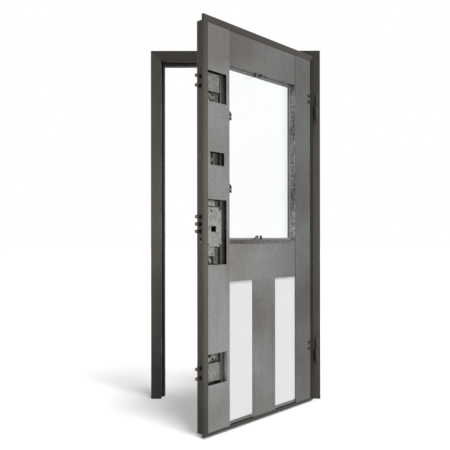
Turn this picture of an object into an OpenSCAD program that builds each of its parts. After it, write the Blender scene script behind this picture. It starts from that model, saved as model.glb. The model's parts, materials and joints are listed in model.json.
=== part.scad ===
// Glazed security door: a steel frame for a wall opening and a hung leaf, shown part open.
// X runs along the wall, Y from the room to the outside, Z up from the floor. Millimetres.
// The origin is on the outer side face of the hinge jamb, at its room-side edge, on the floor.

/* [Frame] */
// Overall width of the frame
frame_w = 1060; // [880:10:1300]
// Overall height of the frame
frame_h = 2180; // [1810:10:2620]
// Depth of the frame, from the room side to the outside
frame_d = 100; // [85:1:140]
// Width of the frame's room-side face
frame_face = 64; // [58:1:90]
// Width of the stop behind that face
stop_w = 16; // [14:1:30]
// Thickness of the frame's pressed steel
frame_sheet = 2; // [1.5:0.5:3]
// Thickness of the rubber seal on the stop
seal_t = 6; // [4:1:8]
// Width of the rubber seal
seal_w = 11; // [8:1:12]
// Radius of the wall-fixing holes
fixing_hole_r = 5.5; // [4:0.5:7]
// Radius of the holes that let a driver through to them
access_hole_r = 7; // [6:0.5:9]

/* [Leaf] */
// Angle at which the leaf stands open
open_angle = 47.4; // [0:0.1:100]
// Thickness of the leaf
leaf_t = 70; // [58:1:84]
// Thickness of the lip that closes over the frame
lip_t = 18; // [15:1:22]
// Overlap of the lip past the body of the leaf, at the sides
lip_over = 18; // [14:1:22]
// The same overlap at the top
lip_over_top = 20; // [14:1:24]
// The same overlap at the bottom
lip_over_bottom = 5; // [3:1:12]
// Thickness of the folded edge trim
trim_sheet = 2; // [1:0.5:3]
// Visible width of the trim at the sides
border_side = 30; // [28:1:45]
// Visible width of the trim at the top
border_top = 36; // [28:1:50]
// Visible width of the trim at the bottom
border_bottom = 16; // [12:1:40]
// Width of the trim's return on the outer face
outer_border = 22; // [12:1:40]
// Depth of the inner sheets behind the lip
inner_recess = 2; // [1:0.5:4]
// Thickness of the galvanised sheets
panel_sheet = 1.5; // [1:0.5:2]
// Width of the strip on the lock side
lock_strip_w = 161; // [134:1:200]
// Width of the strip on the hinge side
hinge_strip_w = 153; // [120:1:180]
// Width of the stiffener between the insulation boards
stiffener_w = 199; // [120:1:240]
// Height of the bottom of the upper panel's cover
mid_panel_z = 777; // [600:1:850]
// Front height of the bottom channel
channel_h = 18; // [12:1:30]

/* [Gaps] */
// Gap between the leaf and the frame at the sides
side_gap = 6; // [5:0.5:8]
// Gap between the leaf and the frame at the top
head_gap = 6; // [5:0.5:10]
// Gap between the leaf and the floor
floor_gap = 8; // [6:1:20]
// Gap between the lip and the frame's face
face_gap = 5; // [5:0.5:8]
// Gap between the leaf and the seal
seal_gap = 5; // [5:0.5:8]

/* [Window] */
// Height of the sill above the floor
window_z = 998; // [940:1:1100]
// Height of the panel above the window
top_panel_h = 177; // [120:1:400]
// Height of the flange below the sill
sill_flange = 24; // [15:1:40]
// Thickness of the glass
glass_t = 16; // [10:1:24]
// Depth of the glass from the outer face of the leaf
glass_setback = 12; // [8:1:16]
// Thickness of the gasket around the glass
gasket_t = 3; // [2:0.5:5]
// Width of the gasket's edge over the glass
gasket_lip = 9; // [5:1:15]
// Length of a panel clip
clip_l = 74; // [50:1:90]
// How far a panel clip stands into the opening
clip_rise = 21; // [12:1:26]
// Distance of the side clips from the window's mid-height
clip_offset = 191; // [100:1:230]

/* [Lock] */
// Radius of a bolt
bolt_r = 9; // [7:0.5:11]
// Distance that a bolt stands out and is drawn back
bolt_throw = 35; // [25:1:38]
// Distance of the bolts' axes from the middle of the leaf's edge, towards the room
bolt_shift = 2; // [0:1:4]
// Height of the middle main bolt
main_bolt_z = 1076; // [1060:1:1090]
// Distance between the main bolts
main_bolt_pitch = 37; // [30:1:40]
// Distance of the upper pair of bolts below the top of the frame
upper_bolt_drop = 380; // [300:1:450]
// Height of the middle of the lower pair of bolts
lower_bolt_z = 321; // [300:1:400]
// Distance between the bolts of a pair
pair_pitch = 49; // [40:1:54]
// Radius of the upright rods
rod_r = 5; // [4:0.5:6]
// Travel of the rods
rod_travel = 17.5; // [10:0.5:20]

/* [Hinges] */
// Distance of the hinge axis from the outer side face of the frame
hinge_inset = 27.5; // [20:0.5:34]
// Distance of the hinge axis in front of the frame
hinge_proud = 31; // [28:0.5:36]
// Radius of a hinge barrel
barrel_r = 9; // [8:0.5:11]
// Height of a hinge barrel
barrel_h = 152; // [120:1:180]
// Height of the middle of the lower hinge
lower_hinge_z = 309; // [250:1:400]
// Distance of the middle of the upper hinge below the top of the frame
upper_hinge_drop = 361; // [250:1:450]
// Radius of a fixed dog on the hinge edge
dog_r = 7; // [5:0.5:8]
// Length of a fixed dog
dog_l = 12; // [8:1:14]

/* [Hidden] */
$fn = 48;

brown = [0.30, 0.28, 0.26];
zinc = [0.50, 0.50, 0.49];
bright_zinc = [0.66, 0.66, 0.64];
foam_white = [0.92, 0.92, 0.92];
rubber_black = [0.08, 0.08, 0.08];
bolt_steel = [0.55, 0.54, 0.52];
clear_glass = [0.85, 0.92, 0.92, 0.4];

// Running clearance round a bolt, rod or hinge pin in the piece that guides it
guide_gap = 0.05;
// Clearance round a bolt or screw in sheet metal
hole_gap = 1.5;
// Overrun of a cutting shape past what it cuts
over = 1;

// Frame
frame_reach = frame_face + stop_w;
stop_y = leaf_t - lip_t - face_gap + seal_gap + seal_t;
fixing_z = [160, 700, frame_h - 630, frame_h - 170];
fixing_y = 48;
upper_bolt_z = frame_h - upper_bolt_drop;
upper_hinge_z = frame_h - upper_hinge_drop;

// The leaf is drawn closed, as [s, w, z]: s from the lip's lock-side edge, w from its inner face
body_w = frame_w - 2 * (frame_face + side_gap);
lip_w = body_w + 2 * lip_over;
body_s0 = lip_over;
body_s1 = lip_w - lip_over;
body_top = frame_h - frame_face - head_gap;
lip_top = body_top + lip_over_top;
lip_bottom = floor_gap;
body_bottom = lip_bottom + lip_over_bottom;
leaf_x = -frame_w + frame_face + side_gap - lip_over;
leaf_y = -lip_t - face_gap;
hinge_x = -hinge_inset;
hinge_y = -hinge_proud;
hinge_s = hinge_x - leaf_x;
hinge_w = hinge_y - leaf_y;

// Layers of the leaf, from the room side outwards
strip_w = inner_recess;
panel_w = strip_w + panel_sheet;
stiffener_face_w = panel_w + panel_sheet;
channel_face_w = stiffener_face_w + panel_sheet;
foam_w = channel_face_w + panel_sheet;
outer_return_w = leaf_t - trim_sheet;
outer_sheet_t = 2;
outer_sheet_w = outer_return_w - outer_sheet_t;

// Inner face
field_s0 = border_side;
field_s1 = lip_w - border_side;
field_z0 = lip_bottom + border_bottom;
field_z1 = lip_top - border_top;
window_s0 = field_s0 + lock_strip_w;
window_s1 = field_s1 - hinge_strip_w;
window_mid_s = (window_s0 + window_s1) / 2;
window_top = field_z1 - top_panel_h;
window_mid_z = (window_z + window_top) / 2;
glass_w1 = leaf_t - glass_setback;
glass_w0 = glass_w1 - glass_t;
tuck = 15;
channel_z = field_z0 + 4;
stiffener_s0 = window_mid_s - stiffener_w / 2;
stiffener_s1 = window_mid_s + stiffener_w / 2;

// Cut-outs in the lock strip
cutout_s1 = window_s0 - 23;
deviator_cutout_h = 156;
deviator_shift = 24;
lock_cutout_z0 = main_bolt_z - 207;
lock_cutout_z1 = main_bolt_z + 126;
limiter_s0 = field_s0 + 16;
limiter_s1 = window_s0 - 40;
limiter_h = 67;

// Lock and deviators
case_s0 = body_s0 + trim_sheet;
case_s1 = window_s0 - 49;
case_w0 = 17;
housing_s0 = field_s0 + 1;
nose_w = lip_t + 4;
bolt_depth = (lip_t + leaf_t) / 2 - bolt_shift;
case_w1 = bolt_depth + bolt_r + 7;
case_z0 = main_bolt_z - main_bolt_pitch - bolt_r - 73;
case_z1 = main_bolt_z + main_bolt_pitch + bolt_r + 45;
lock_cover_t = 1.5;
lock_cover_inset = 4;
main_bolts_z = [for (i = [-1:1]) main_bolt_z + i * main_bolt_pitch];
pair = [-pair_pitch / 2, pair_pitch / 2];
upper_bolts_z = [for (z = pair) upper_bolt_z + z];
lower_bolts_z = [for (z = pair) lower_bolt_z + z];
bolt_heights = concat(main_bolts_z, upper_bolts_z, lower_bolts_z);
deviator_s1 = window_s0 - 63;
deviator_h = pair_pitch + 2 * bolt_r + 24;
mechanism_h = 58;
mechanism_w = [case_w0 + 2, case_w1 - 14];
limiter_z = (case_z1 + upper_bolt_z - deviator_h / 2 - mechanism_h) / 2 - 21;
limiter_pin_r = 4;
limiter_pin_z = limiter_z + 8;
// Small holes in the lock edge, as [height, radius]
edge_holes = [[main_bolt_z - 75, 5], [main_bolt_z + 193, 3], [lower_bolt_z + 305, 3], [70, 3]];
rod_s = 92;
mechanism_s1 = rod_s + 12;
rod_w = case_w0 + rod_r + 4;
rod_engaged = 18;
rod_end_gap = 1;
bolt_l = bolt_throw + 95;

// Square hole in the lock's cover, where the handle's spindle goes in
spindle_s = [66, 102];
spindle_z = [main_bolt_z - 39, main_bolt_z - 9];
spindle_depth = 6;

// Strike plates in the lock jamb, as [middle height, full height]
strikes = [
    [main_bolt_z, 2 * main_bolt_pitch + 82],
    [upper_bolt_z, pair_pitch + 56],
    [lower_bolt_z, pair_pitch + 56],
    [limiter_z, 144]
];
strike_y = leaf_y + bolt_depth;
strike_half_w = 15;
strike_t = 3;
limiter_slot_half_w = 6;
limiter_slot_half_h = 50;

// Panel clips on the sides of the window
clip_w = 6;
clip_depth = 16;
clip_t = 2;
clip_bridge = 0.58 * clip_l;
clip_heights = [window_mid_z - clip_offset, window_mid_z + clip_offset];
centre_clip_s = window_mid_s - 42;

// Hinges
pin_r = 5;
wing_t = 5;
wing_w = 6;
wing_s0 = field_s1 - 38;
wing_gap = 1;
wing_z0 = 8;
wing_z1 = barrel_h / 2;
wing_bolts_z = [wing_z0 + 12, wing_z1 - 19];
wing_bolt_s = field_s1 - 14;
wing_bolt_r = 4;
wing_head_r = 7;
wing_head_h = 4;
dog_shank = 10;
dog_z0 = 330;
dog_pitch = (frame_h - 350 - dog_z0) / 3;
dog_z = [for (i = [0:3]) dog_z0 + i * dog_pitch];
dog_slot_y = [6, 33];
dog_slot_half_h = dog_r + 5;

// A block between two opposite corners
module block(low, high) {
    translate(low) cube(high - low);
}

// A round bar or hole along s, from s0 to s1
module along_s(r, s0, s1, w, z) {
    translate([s0, w, z]) rotate([0, 90, 0]) cylinder(r = r, h = s1 - s0);
}

// A round bar or hole along w, from w0 to w1
module along_w(r, w0, w1, s, z) {
    translate([s, w0, z]) rotate([-90, 0, 0]) cylinder(r = r, h = w1 - w0);
}

// Places what is drawn on the closed leaf where the open leaf holds it
module on_leaf() {
    translate([hinge_x, hinge_y, 0])
        rotate([0, 0, open_angle])
            translate([-hinge_s, -hinge_w, 0])
                children();
}

// ---- Frame ----

// Outline of the frame's section, drawn in from its outside by an inset
module frame_outline(inset) {
    face = frame_face - inset;
    reach = frame_reach - inset;
    polygon([
        [inset, inset], [face, inset], [face, stop_y + inset],
        [reach, stop_y + inset], [reach, frame_d - inset], [inset, frame_d - inset]
    ]);
}

// A bar of the frame's section, mitred at its upper end and, if asked, at its lower end
module frame_bar(length, both_ends) {
    cut = 2 * frame_reach;
    difference() {
        linear_extrude(length) difference() {
            frame_outline(0);
            frame_outline(frame_sheet);
        }
        translate([0, -over, length]) rotate([0, 45, 0]) translate([-over, 0, 0])
            cube([cut, frame_d + 2 * over, cut]);
        if (both_ends)
            translate([0, -over, 0]) rotate([0, -45, 0]) translate([-over, 0, -cut])
                cube([cut, frame_d + 2 * over, cut]);
    }
}

// A jamb, with x measured inwards from its outer side face
module jamb() {
    difference() {
        frame_bar(frame_h, false);
        for (z = fixing_z) {
            along_s(fixing_hole_r, -over, frame_sheet + over, fixing_y, z);
            along_s(access_hole_r, frame_face - frame_sheet - over, frame_face + over, fixing_y, z);
        }
    }
}

// The space that a strike plate takes in the lock jamb, x from the jamb's outer side face
module strike_space(strike, depth, front) {
    block(
        [frame_face - depth, strike_y - strike_half_w, strike[0] - strike[1] / 2],
        [frame_face + front, strike_y + strike_half_w, strike[0] + strike[1] / 2]
    );
}

module lock_jamb() {
    color(brown) translate([-frame_w, 0, 0]) difference() {
        jamb();
        for (strike = strikes)
            strike_space(strike, frame_sheet + over, over);
    }
}

module strike_plates() {
    hole_r = bolt_r + hole_gap;
    color(zinc) translate([-frame_w, 0, 0]) difference() {
        for (strike = strikes)
            strike_space(strike, strike_t, 0);
        for (z = bolt_heights)
            along_s(hole_r, frame_face - strike_t - over, frame_face + over, strike_y, z);
        block(
            [frame_face - strike_t - over, strike_y - limiter_slot_half_w, limiter_z - limiter_slot_half_h],
            [frame_face + over, strike_y + limiter_slot_half_w, limiter_z + limiter_slot_half_h]
        );
    }
}

module hinge_jamb() {
    color(brown) mirror([1, 0, 0]) difference() {
        jamb();
        for (z = dog_z)
            block(
                [frame_face - frame_sheet - over, dog_slot_y[0], z - dog_slot_half_h],
                [frame_face + over, dog_slot_y[1], z + dog_slot_half_h]
            );
    }
}

module frame_head() {
    color(brown) translate([-frame_w, 0, frame_h]) rotate([0, 90, 0]) frame_bar(frame_w, true);
}

module frame_seal() {
    outer = frame_face;
    inner = outer + seal_w;
    color(rubber_black) difference() {
        block([-frame_w + outer, stop_y - seal_t, 0], [-outer, stop_y, frame_h - outer]);
        block(
            [-frame_w + inner, stop_y - seal_t - over, -over],
            [-inner, stop_y + over, frame_h - inner]
        );
    }
}

// The frame's half of a hinge: foot, web, lower half of the barrel and the pin
module hinge_base(z) {
    foot_t = 4;
    web_half_t = 4;
    pin_cover = 16;
    half = barrel_h / 2;
    color(brown) translate([hinge_x, hinge_y, z]) {
        difference() {
            translate([0, 0, -half]) cylinder(r = barrel_r, h = half - wing_gap);
            translate([0, 0, -half - over]) cylinder(r = pin_r, h = half + 2 * over);
        }
        translate([0, 0, -half]) cylinder(r = pin_r, h = barrel_h - pin_cover);
        difference() {
            union() {
                block([-web_half_t, 0, 6 - half], [web_half_t, hinge_proud - foot_t, -6]);
                block([-barrel_r, hinge_proud - foot_t, -half], [barrel_r, hinge_proud, -wing_gap]);
            }
            translate([0, 0, -half]) cylinder(r = barrel_r, h = half);
        }
    }
}

module upper_hinge_base() {
    hinge_base(upper_hinge_z);
}

module lower_hinge_base() {
    hinge_base(lower_hinge_z);
}

// ---- Shell of the leaf ----

module outer_sheet() {
    inset = trim_sheet;
    color(zinc) on_leaf() difference() {
        block(
            [body_s0 + inset, outer_sheet_w, body_bottom + inset],
            [body_s1 - inset, outer_return_w, body_top - inset]
        );
        block([window_s0, outer_sheet_w - over, window_z], [window_s1, outer_return_w + over, window_top]);
    }
}

// Section of a side trim: a lip, a side wall and a return on the outer face
module side_trim_section() {
    square([border_side, lip_t]);
    translate([lip_over, lip_t]) square([trim_sheet, leaf_t - lip_t]);
    translate([lip_over, outer_return_w]) square([outer_border, trim_sheet]);
}

module side_trim() {
    reach = lip_over + outer_border + over;
    difference() {
        translate([0, 0, lip_bottom]) linear_extrude(lip_top - lip_bottom) side_trim_section();
        block([-over, -over, field_z1], [border_side + over, lip_t, lip_top + over]);
        block([-over, -over, lip_bottom - over], [border_side + over, lip_t, field_z0]);
        block([-over, lip_t - over, body_top - trim_sheet], [reach, leaf_t + over, lip_top + over]);
        block([-over, lip_t - over, lip_bottom - over], [reach, leaf_t + over, body_bottom + trim_sheet]);
    }
}

module lock_edge_trim() {
    color(brown) on_leaf() difference() {
        side_trim();
        for (z = bolt_heights)
            along_s(bolt_r + hole_gap, body_s0 - over, case_s0 + over, bolt_depth, z);
        for (hole = edge_holes)
            along_s(hole[1], body_s0 - over, case_s0 + over, bolt_depth, hole[0]);
        along_s(limiter_pin_r + 0.5, body_s0 - over, case_s0 + over, bolt_depth, limiter_pin_z);
    }
}

module hinge_edge_trim() {
    color(brown) on_leaf() difference() {
        translate([lip_w, 0, 0]) mirror([1, 0, 0]) side_trim();
        for (z = [lower_hinge_z, upper_hinge_z])
            block([field_s1 - over, wing_w, z + wing_z0], [lip_w + over, wing_w + wing_t, z + wing_z1]);
        for (z = dog_z)
            along_s(dog_r, body_s1 - trim_sheet - over, body_s1 + over, bolt_depth, z);
    }
}

module top_edge_trim() {
    color(brown) on_leaf() {
        block([0, 0, field_z1], [lip_w, lip_t, lip_top]);
        block([body_s0, lip_t, body_top - trim_sheet], [body_s1, leaf_t, body_top]);
        block(
            [body_s0 + outer_border, outer_return_w, body_top - outer_border],
            [body_s1 - outer_border, leaf_t, body_top - trim_sheet]
        );
    }
}

module bottom_edge_trim() {
    color(brown) on_leaf() {
        block([0, 0, lip_bottom], [lip_w, lip_t, field_z0]);
        block([body_s0, lip_t, body_bottom], [body_s1, leaf_t, body_bottom + trim_sheet]);
        block(
            [body_s0 + outer_border, outer_return_w, body_bottom + trim_sheet],
            [body_s1 - outer_border, leaf_t, body_bottom + outer_border]
        );
    }
}

// ---- Inner sheets of the leaf ----

// A cut-out in the lock strip
module strip_cutout(s0, s1, z0, z1) {
    block([s0, strip_w - over, z0], [s1, panel_w + over, z1]);
}

module lock_strip() {
    h = deviator_cutout_h / 2;
    color(zinc) on_leaf() difference() {
        block([field_s0, strip_w, field_z0], [window_s0, panel_w, field_z1]);
        strip_cutout(field_s0 - over, cutout_s1, lock_cutout_z0, lock_cutout_z1);
        strip_cutout(limiter_s0, limiter_s1, limiter_z - limiter_h / 2, limiter_z + limiter_h / 2);
        strip_cutout(
            field_s0 - over, cutout_s1,
            upper_bolt_z - deviator_shift - h, upper_bolt_z - deviator_shift + h
        );
        strip_cutout(
            field_s0 - over, cutout_s1,
            lower_bolt_z + deviator_shift - 6 - h, lower_bolt_z + deviator_shift - 6 + h
        );
    }
}

module hinge_strip() {
    color(zinc) on_leaf() difference() {
        block([window_s1, strip_w, field_z0], [field_s1, panel_w, field_z1]);
        for (hinge = [lower_hinge_z, upper_hinge_z], z = wing_bolts_z)
            along_w(wing_bolt_r, strip_w - over, panel_w + over, wing_bolt_s, hinge + z);
    }
}

module top_panel() {
    color(zinc) on_leaf()
        block([window_s0 - tuck, panel_w, window_top], [window_s1 + tuck, stiffener_face_w, field_z1]);
}

module mid_panel() {
    color(zinc) on_leaf()
        block(
            [window_s0 - tuck, panel_w, mid_panel_z],
            [window_s1 + tuck, stiffener_face_w, window_z - sill_flange]
        );
}

module centre_stiffener() {
    top = mid_panel_z + tuck;
    foot = channel_z + channel_h;
    color(zinc) on_leaf() {
        block([stiffener_s0, stiffener_face_w, field_z0], [stiffener_s1, channel_face_w, top]);
        block([stiffener_s0, channel_face_w, foot], [stiffener_s0 + panel_sheet, outer_sheet_w, top]);
        block([stiffener_s1 - panel_sheet, channel_face_w, foot], [stiffener_s1, outer_sheet_w, top]);
    }
}

module bottom_channel() {
    s0 = window_s0 - tuck;
    s1 = window_s1 + tuck;
    color(zinc) on_leaf() {
        block([s0, channel_face_w, channel_z], [s1, foam_w, channel_z + channel_h]);
        block([s0, foam_w, channel_z], [s1, outer_sheet_w, channel_z + panel_sheet]);
    }
}

// An insulation board from s0 to s1, standing in the bottom channel
module insulation(s0, s1) {
    color(foam_white) on_leaf()
        block([s0, foam_w, channel_z + panel_sheet], [s1, outer_sheet_w, mid_panel_z + tuck]);
}

module lock_side_insulation() {
    insulation(window_s0 - tuck, stiffener_s0);
}

module hinge_side_insulation() {
    insulation(stiffener_s1, window_s1 + tuck);
}

// ---- Window ----

module window_head() {
    color(zinc) on_leaf()
        block(
            [window_s0, stiffener_face_w, window_top],
            [window_s1, outer_sheet_w, window_top + panel_sheet]
        );
}

module window_sill() {
    color(zinc) on_leaf() {
        block([window_s0, panel_w, window_z - panel_sheet], [window_s1, outer_sheet_w, window_z]);
        block(
            [window_s0, panel_w, window_z - sill_flange],
            [window_s1, stiffener_face_w, window_z - panel_sheet]
        );
    }
}

module lock_side_reveal() {
    color(zinc) on_leaf()
        block([window_s0 - panel_sheet, panel_w, window_z], [window_s0, outer_sheet_w, window_top]);
}

module hinge_side_reveal() {
    color(zinc) on_leaf()
        block([window_s1, panel_w, window_z], [window_s1 + panel_sheet, outer_sheet_w, window_top]);
}

// The window opening drawn in by an inset, from w0 to w1
module window_space(inset, w0, w1) {
    block(
        [window_s0 + inset, w0, window_z + inset],
        [window_s1 - inset, w1, window_top - inset]
    );
}

module glass_pane() {
    color(clear_glass) on_leaf() window_space(gasket_t, glass_w0, glass_w1);
}

module glazing_gasket() {
    color(rubber_black) on_leaf() difference() {
        window_space(0, glass_w0 - gasket_t, glass_w1 + gasket_t);
        window_space(gasket_t, glass_w0, glass_w1);
        window_space(gasket_lip, glass_w0 - gasket_t - over, glass_w1 + gasket_t + over);
    }
}

module glazing_bead() {
    color(zinc) on_leaf() difference() {
        window_space(0, glass_w1 + gasket_t, outer_return_w);
        window_space(gasket_lip, glass_w1 + gasket_t - over, outer_return_w + over);
    }
}

// A clip of folded strip: a foot on the reveal, and a bridge that stands off it.
// It is drawn on the plane x = 0, standing out along +x, with its length along z.
module panel_clip() {
    foot = clip_l / 2;
    bridge = clip_bridge / 2;
    rotate([90, 0, 0]) translate([0, 0, -clip_depth]) linear_extrude(clip_depth) difference() {
        polygon([
            [0, -foot], [clip_t, -foot], [clip_t, -bridge - clip_t], [clip_rise, -bridge - clip_t],
            [clip_rise, bridge], [clip_t, foot], [0, foot]
        ]);
        polygon([
            [clip_t, -bridge], [clip_rise - clip_t, -bridge], [clip_rise - clip_t, bridge - clip_t],
            [clip_t, bridge]
        ]);
    }
}

module lock_side_clips() {
    color(bright_zinc) on_leaf()
        for (z = clip_heights)
            translate([window_s0, clip_w, z]) panel_clip();
}

module hinge_side_clips() {
    color(bright_zinc) on_leaf()
        for (z = clip_heights)
            translate([window_s1, clip_w, z]) mirror([1, 0, 0]) panel_clip();
}

module head_clip() {
    color(bright_zinc) on_leaf()
        translate([centre_clip_s, clip_w, window_top]) rotate([0, 90, 0]) panel_clip();
}

module sill_clip() {
    color(bright_zinc) on_leaf()
        translate([centre_clip_s, clip_w, window_z]) rotate([0, -90, 0]) panel_clip();
}

// ---- Lock ----

// A housing behind the lock strip, with a nose that reaches the leaf's edge
module housing(s1, z0, z1) {
    block([housing_s0, case_w0, z0], [s1, case_w1, z1]);
    block([case_s0, nose_w, z0], [housing_s0 + 1, case_w1, z1]);
}

module spindle_hole(w0, w1) {
    block([spindle_s[0], w0, spindle_z[0]], [spindle_s[1], w1, spindle_z[1]]);
}

module bolt_guides(heights, s1) {
    for (z = heights)
        along_s(bolt_r + guide_gap, case_s0 - over, s1 + over, bolt_depth, z);
}

module lock_case() {
    color(zinc) on_leaf() difference() {
        housing(case_s1, case_z0, case_z1);
        bolt_guides(main_bolts_z, case_s1);
        translate([rod_s, rod_w, case_z1 - rod_engaged - rod_travel - rod_end_gap])
            cylinder(r = rod_r + guide_gap, h = 2 * rod_travel + rod_engaged);
        translate([rod_s, rod_w, case_z0 - over])
            cylinder(r = rod_r + guide_gap, h = rod_engaged + rod_travel + rod_end_gap + over);
        spindle_hole(case_w0 - over, case_w0 + spindle_depth);
    }
}

module lock_cover() {
    color(bright_zinc) on_leaf() difference() {
        block(
            [housing_s0, case_w0 - lock_cover_t, case_z0 + lock_cover_inset],
            [case_s1, case_w0, case_z1 - lock_cover_inset]
        );
        spindle_hole(case_w0 - lock_cover_t - over, case_w0 + over);
    }
}

// A deviator round a pair of bolts, with its linkage box towards the lock; side is -1 below it, 1 above it
module deviator(mid_z, side) {
    half = deviator_h / 2;
    box_z0 = side < 0 ? mid_z - half - mechanism_h : mid_z + half;
    bore_z0 = side < 0 ? box_z0 - over : box_z0 + 1;
    difference() {
        union() {
            housing(deviator_s1, mid_z - half, mid_z + half);
            block([housing_s0, mechanism_w[0], box_z0], [mechanism_s1, mechanism_w[1], box_z0 + mechanism_h]);
        }
        bolt_guides([for (z = pair) mid_z + z], deviator_s1);
        translate([rod_s, rod_w, bore_z0])
            cylinder(r = rod_r + guide_gap, h = mechanism_h - 1 + over);
    }
}

module upper_deviator() {
    color(bright_zinc) on_leaf() deviator(upper_bolt_z, -1);
}

module lower_deviator() {
    color(bright_zinc) on_leaf() deviator(lower_bolt_z, 1);
}

module door_limiter() {
    half = limiter_h / 2 + 8;
    color(bright_zinc) on_leaf() {
        block([case_s0, nose_w, limiter_z - half], [limiter_s0 + 12, case_w1, limiter_z + half]);
        along_s(limiter_pin_r, body_s0 - 3, case_s0, bolt_depth, limiter_pin_z);
    }
}

// Thrown bolts at the given heights
module bolts(heights) {
    color(bolt_steel) on_leaf()
        for (z = heights)
            along_s(bolt_r, body_s0 - bolt_throw, body_s0 - bolt_throw + bolt_l, bolt_depth, z);
}

module main_bolts() {
    bolts(main_bolts_z);
}

module upper_bolts() {
    bolts(upper_bolts_z);
}

module lower_bolts() {
    bolts(lower_bolts_z);
}

// A rod between the lock and a deviator
module rod(z0, z1) {
    color(bolt_steel) on_leaf() translate([rod_s, rod_w, z0]) cylinder(r = rod_r, h = z1 - z0);
}

module upper_rod() {
    rod(case_z1 - rod_engaged, upper_bolt_z - deviator_h / 2 - rod_travel);
}

module lower_rod() {
    rod(lower_bolt_z + deviator_h / 2 + rod_travel, case_z0 + rod_engaged);
}

// ---- Hinge side of the leaf ----

// The leaf's half of a hinge: upper half of the barrel, a cranked wing and its two bolts
module hinge_wing(z) {
    half = barrel_h / 2;
    arm_s1 = hinge_s + 4;
    color(brown) on_leaf() {
        difference() {
            union() {
                translate([hinge_s, hinge_w, z + wing_gap]) cylinder(r = barrel_r, h = half - wing_gap);
                block([hinge_s - 7, hinge_w, z + wing_z0], [arm_s1, wing_w + wing_t, z + wing_z1]);
                block([wing_s0, wing_w, z + wing_z0], [arm_s1, wing_w + wing_t, z + wing_z1]);
            }
            translate([hinge_s, hinge_w, z - over])
                cylinder(r = pin_r + guide_gap, h = half - 12);
        }
        for (bolt_z = wing_bolts_z) {
            along_w(wing_bolt_r, strip_w, wing_w, wing_bolt_s, z + bolt_z);
            along_w(wing_head_r, strip_w - wing_head_h, strip_w, wing_bolt_s, z + bolt_z);
        }
    }
}

module upper_hinge_wing() {
    hinge_wing(upper_hinge_z);
}

module lower_hinge_wing() {
    hinge_wing(lower_hinge_z);
}

module fixed_dogs() {
    color(bolt_steel) on_leaf()
        for (z = dog_z)
            along_s(dog_r, body_s1 - trim_sheet - dog_shank, body_s1 + dog_l, bolt_depth, z);
}

lock_jamb();
hinge_jamb();
frame_head();
frame_seal();
strike_plates();
upper_hinge_base();
lower_hinge_base();
outer_sheet();
lock_edge_trim();
hinge_edge_trim();
top_edge_trim();
bottom_edge_trim();
lock_strip();
hinge_strip();
top_panel();
mid_panel();
centre_stiffener();
bottom_channel();
lock_side_insulation();
hinge_side_insulation();
window_head();
window_sill();
lock_side_reveal();
hinge_side_reveal();
glass_pane();
glazing_gasket();
glazing_bead();
lock_side_clips();
hinge_side_clips();
head_clip();
sill_clip();
lock_case();
lock_cover();
upper_deviator();
lower_deviator();
door_limiter();
upper_hinge_wing();
lower_hinge_wing();
fixed_dogs();
main_bolts();
upper_bolts();
lower_bolts();
upper_rod();
lower_rod();
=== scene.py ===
import json
import math
import bpy
import numpy as np
from mathutils import Euler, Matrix
from mathutils.geometry import delaunay_2d_cdt


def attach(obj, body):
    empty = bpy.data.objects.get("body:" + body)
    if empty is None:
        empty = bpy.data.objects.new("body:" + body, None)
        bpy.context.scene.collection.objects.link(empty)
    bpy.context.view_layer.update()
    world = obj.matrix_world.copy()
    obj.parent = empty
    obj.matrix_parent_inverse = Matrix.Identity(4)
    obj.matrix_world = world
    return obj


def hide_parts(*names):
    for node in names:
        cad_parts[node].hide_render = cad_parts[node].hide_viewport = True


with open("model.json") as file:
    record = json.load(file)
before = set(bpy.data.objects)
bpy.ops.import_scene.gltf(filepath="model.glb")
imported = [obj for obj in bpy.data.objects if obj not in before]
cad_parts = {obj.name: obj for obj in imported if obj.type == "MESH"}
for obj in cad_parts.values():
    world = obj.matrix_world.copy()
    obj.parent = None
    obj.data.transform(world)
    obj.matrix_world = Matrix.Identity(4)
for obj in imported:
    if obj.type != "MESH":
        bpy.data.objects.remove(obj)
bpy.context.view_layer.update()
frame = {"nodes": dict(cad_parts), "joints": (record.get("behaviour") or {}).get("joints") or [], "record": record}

mm = 0.001  # every size below is in millimetres

swing = next(joint for joint in frame["joints"] if joint["name"] == "leaf_swing")
openAngle = math.radians(-swing["range_deg"][0])  # the leaf's angle at rest, from closed
hingeAt = np.array(swing["pos_m"][:2]) / mm
leafTurn = np.array([[math.cos(openAngle), -math.sin(openAngle)], [math.sin(openAngle), math.cos(openAngle)]])


# A CAD node's vertices as rows of x, y, z in millimetres.
def nodePoints(name):
    mesh = frame["nodes"][name].data
    flat = np.empty(len(mesh.vertices) * 3, np.float32)
    mesh.vertices.foreach_get("co", flat)
    return flat.reshape(-1, 3) / mm


# Turns points back about the hinge to where the closed leaf holds them.
def closedPoints(points):
    turned = points.copy()
    turned[:, :2] = (points[:, :2] - hingeAt) @ leafTurn + hingeAt
    return turned


leafCorner = closedPoints(nodePoints("lock_edge_trim")).min(0) * [1, 1, 0]


# Lowest and highest corner of a CAD node in the leaf's own axes: s along its width from the
# lock-side edge, w through its thickness from the inner face, z up.
def leafBox(name):
    points = closedPoints(nodePoints(name)) - leafCorner
    return points.min(0), points.max(0)


# Leaf axes to the row frame in metres: the closed place, turned about the hinge by the open angle.
def onLeaf(points):
    closed = points + leafCorner
    placed = closed.copy()
    placed[:, :2] = (closed[:, :2] - hingeAt) @ leafTurn.T + hingeAt
    return placed * mm


def onFrame(points):
    return points * mm


# The same with the columns taken in another order, for shapes drawn on another plane.
def axesOf(place, order):
    return lambda points: place(points[:, order])


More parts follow.
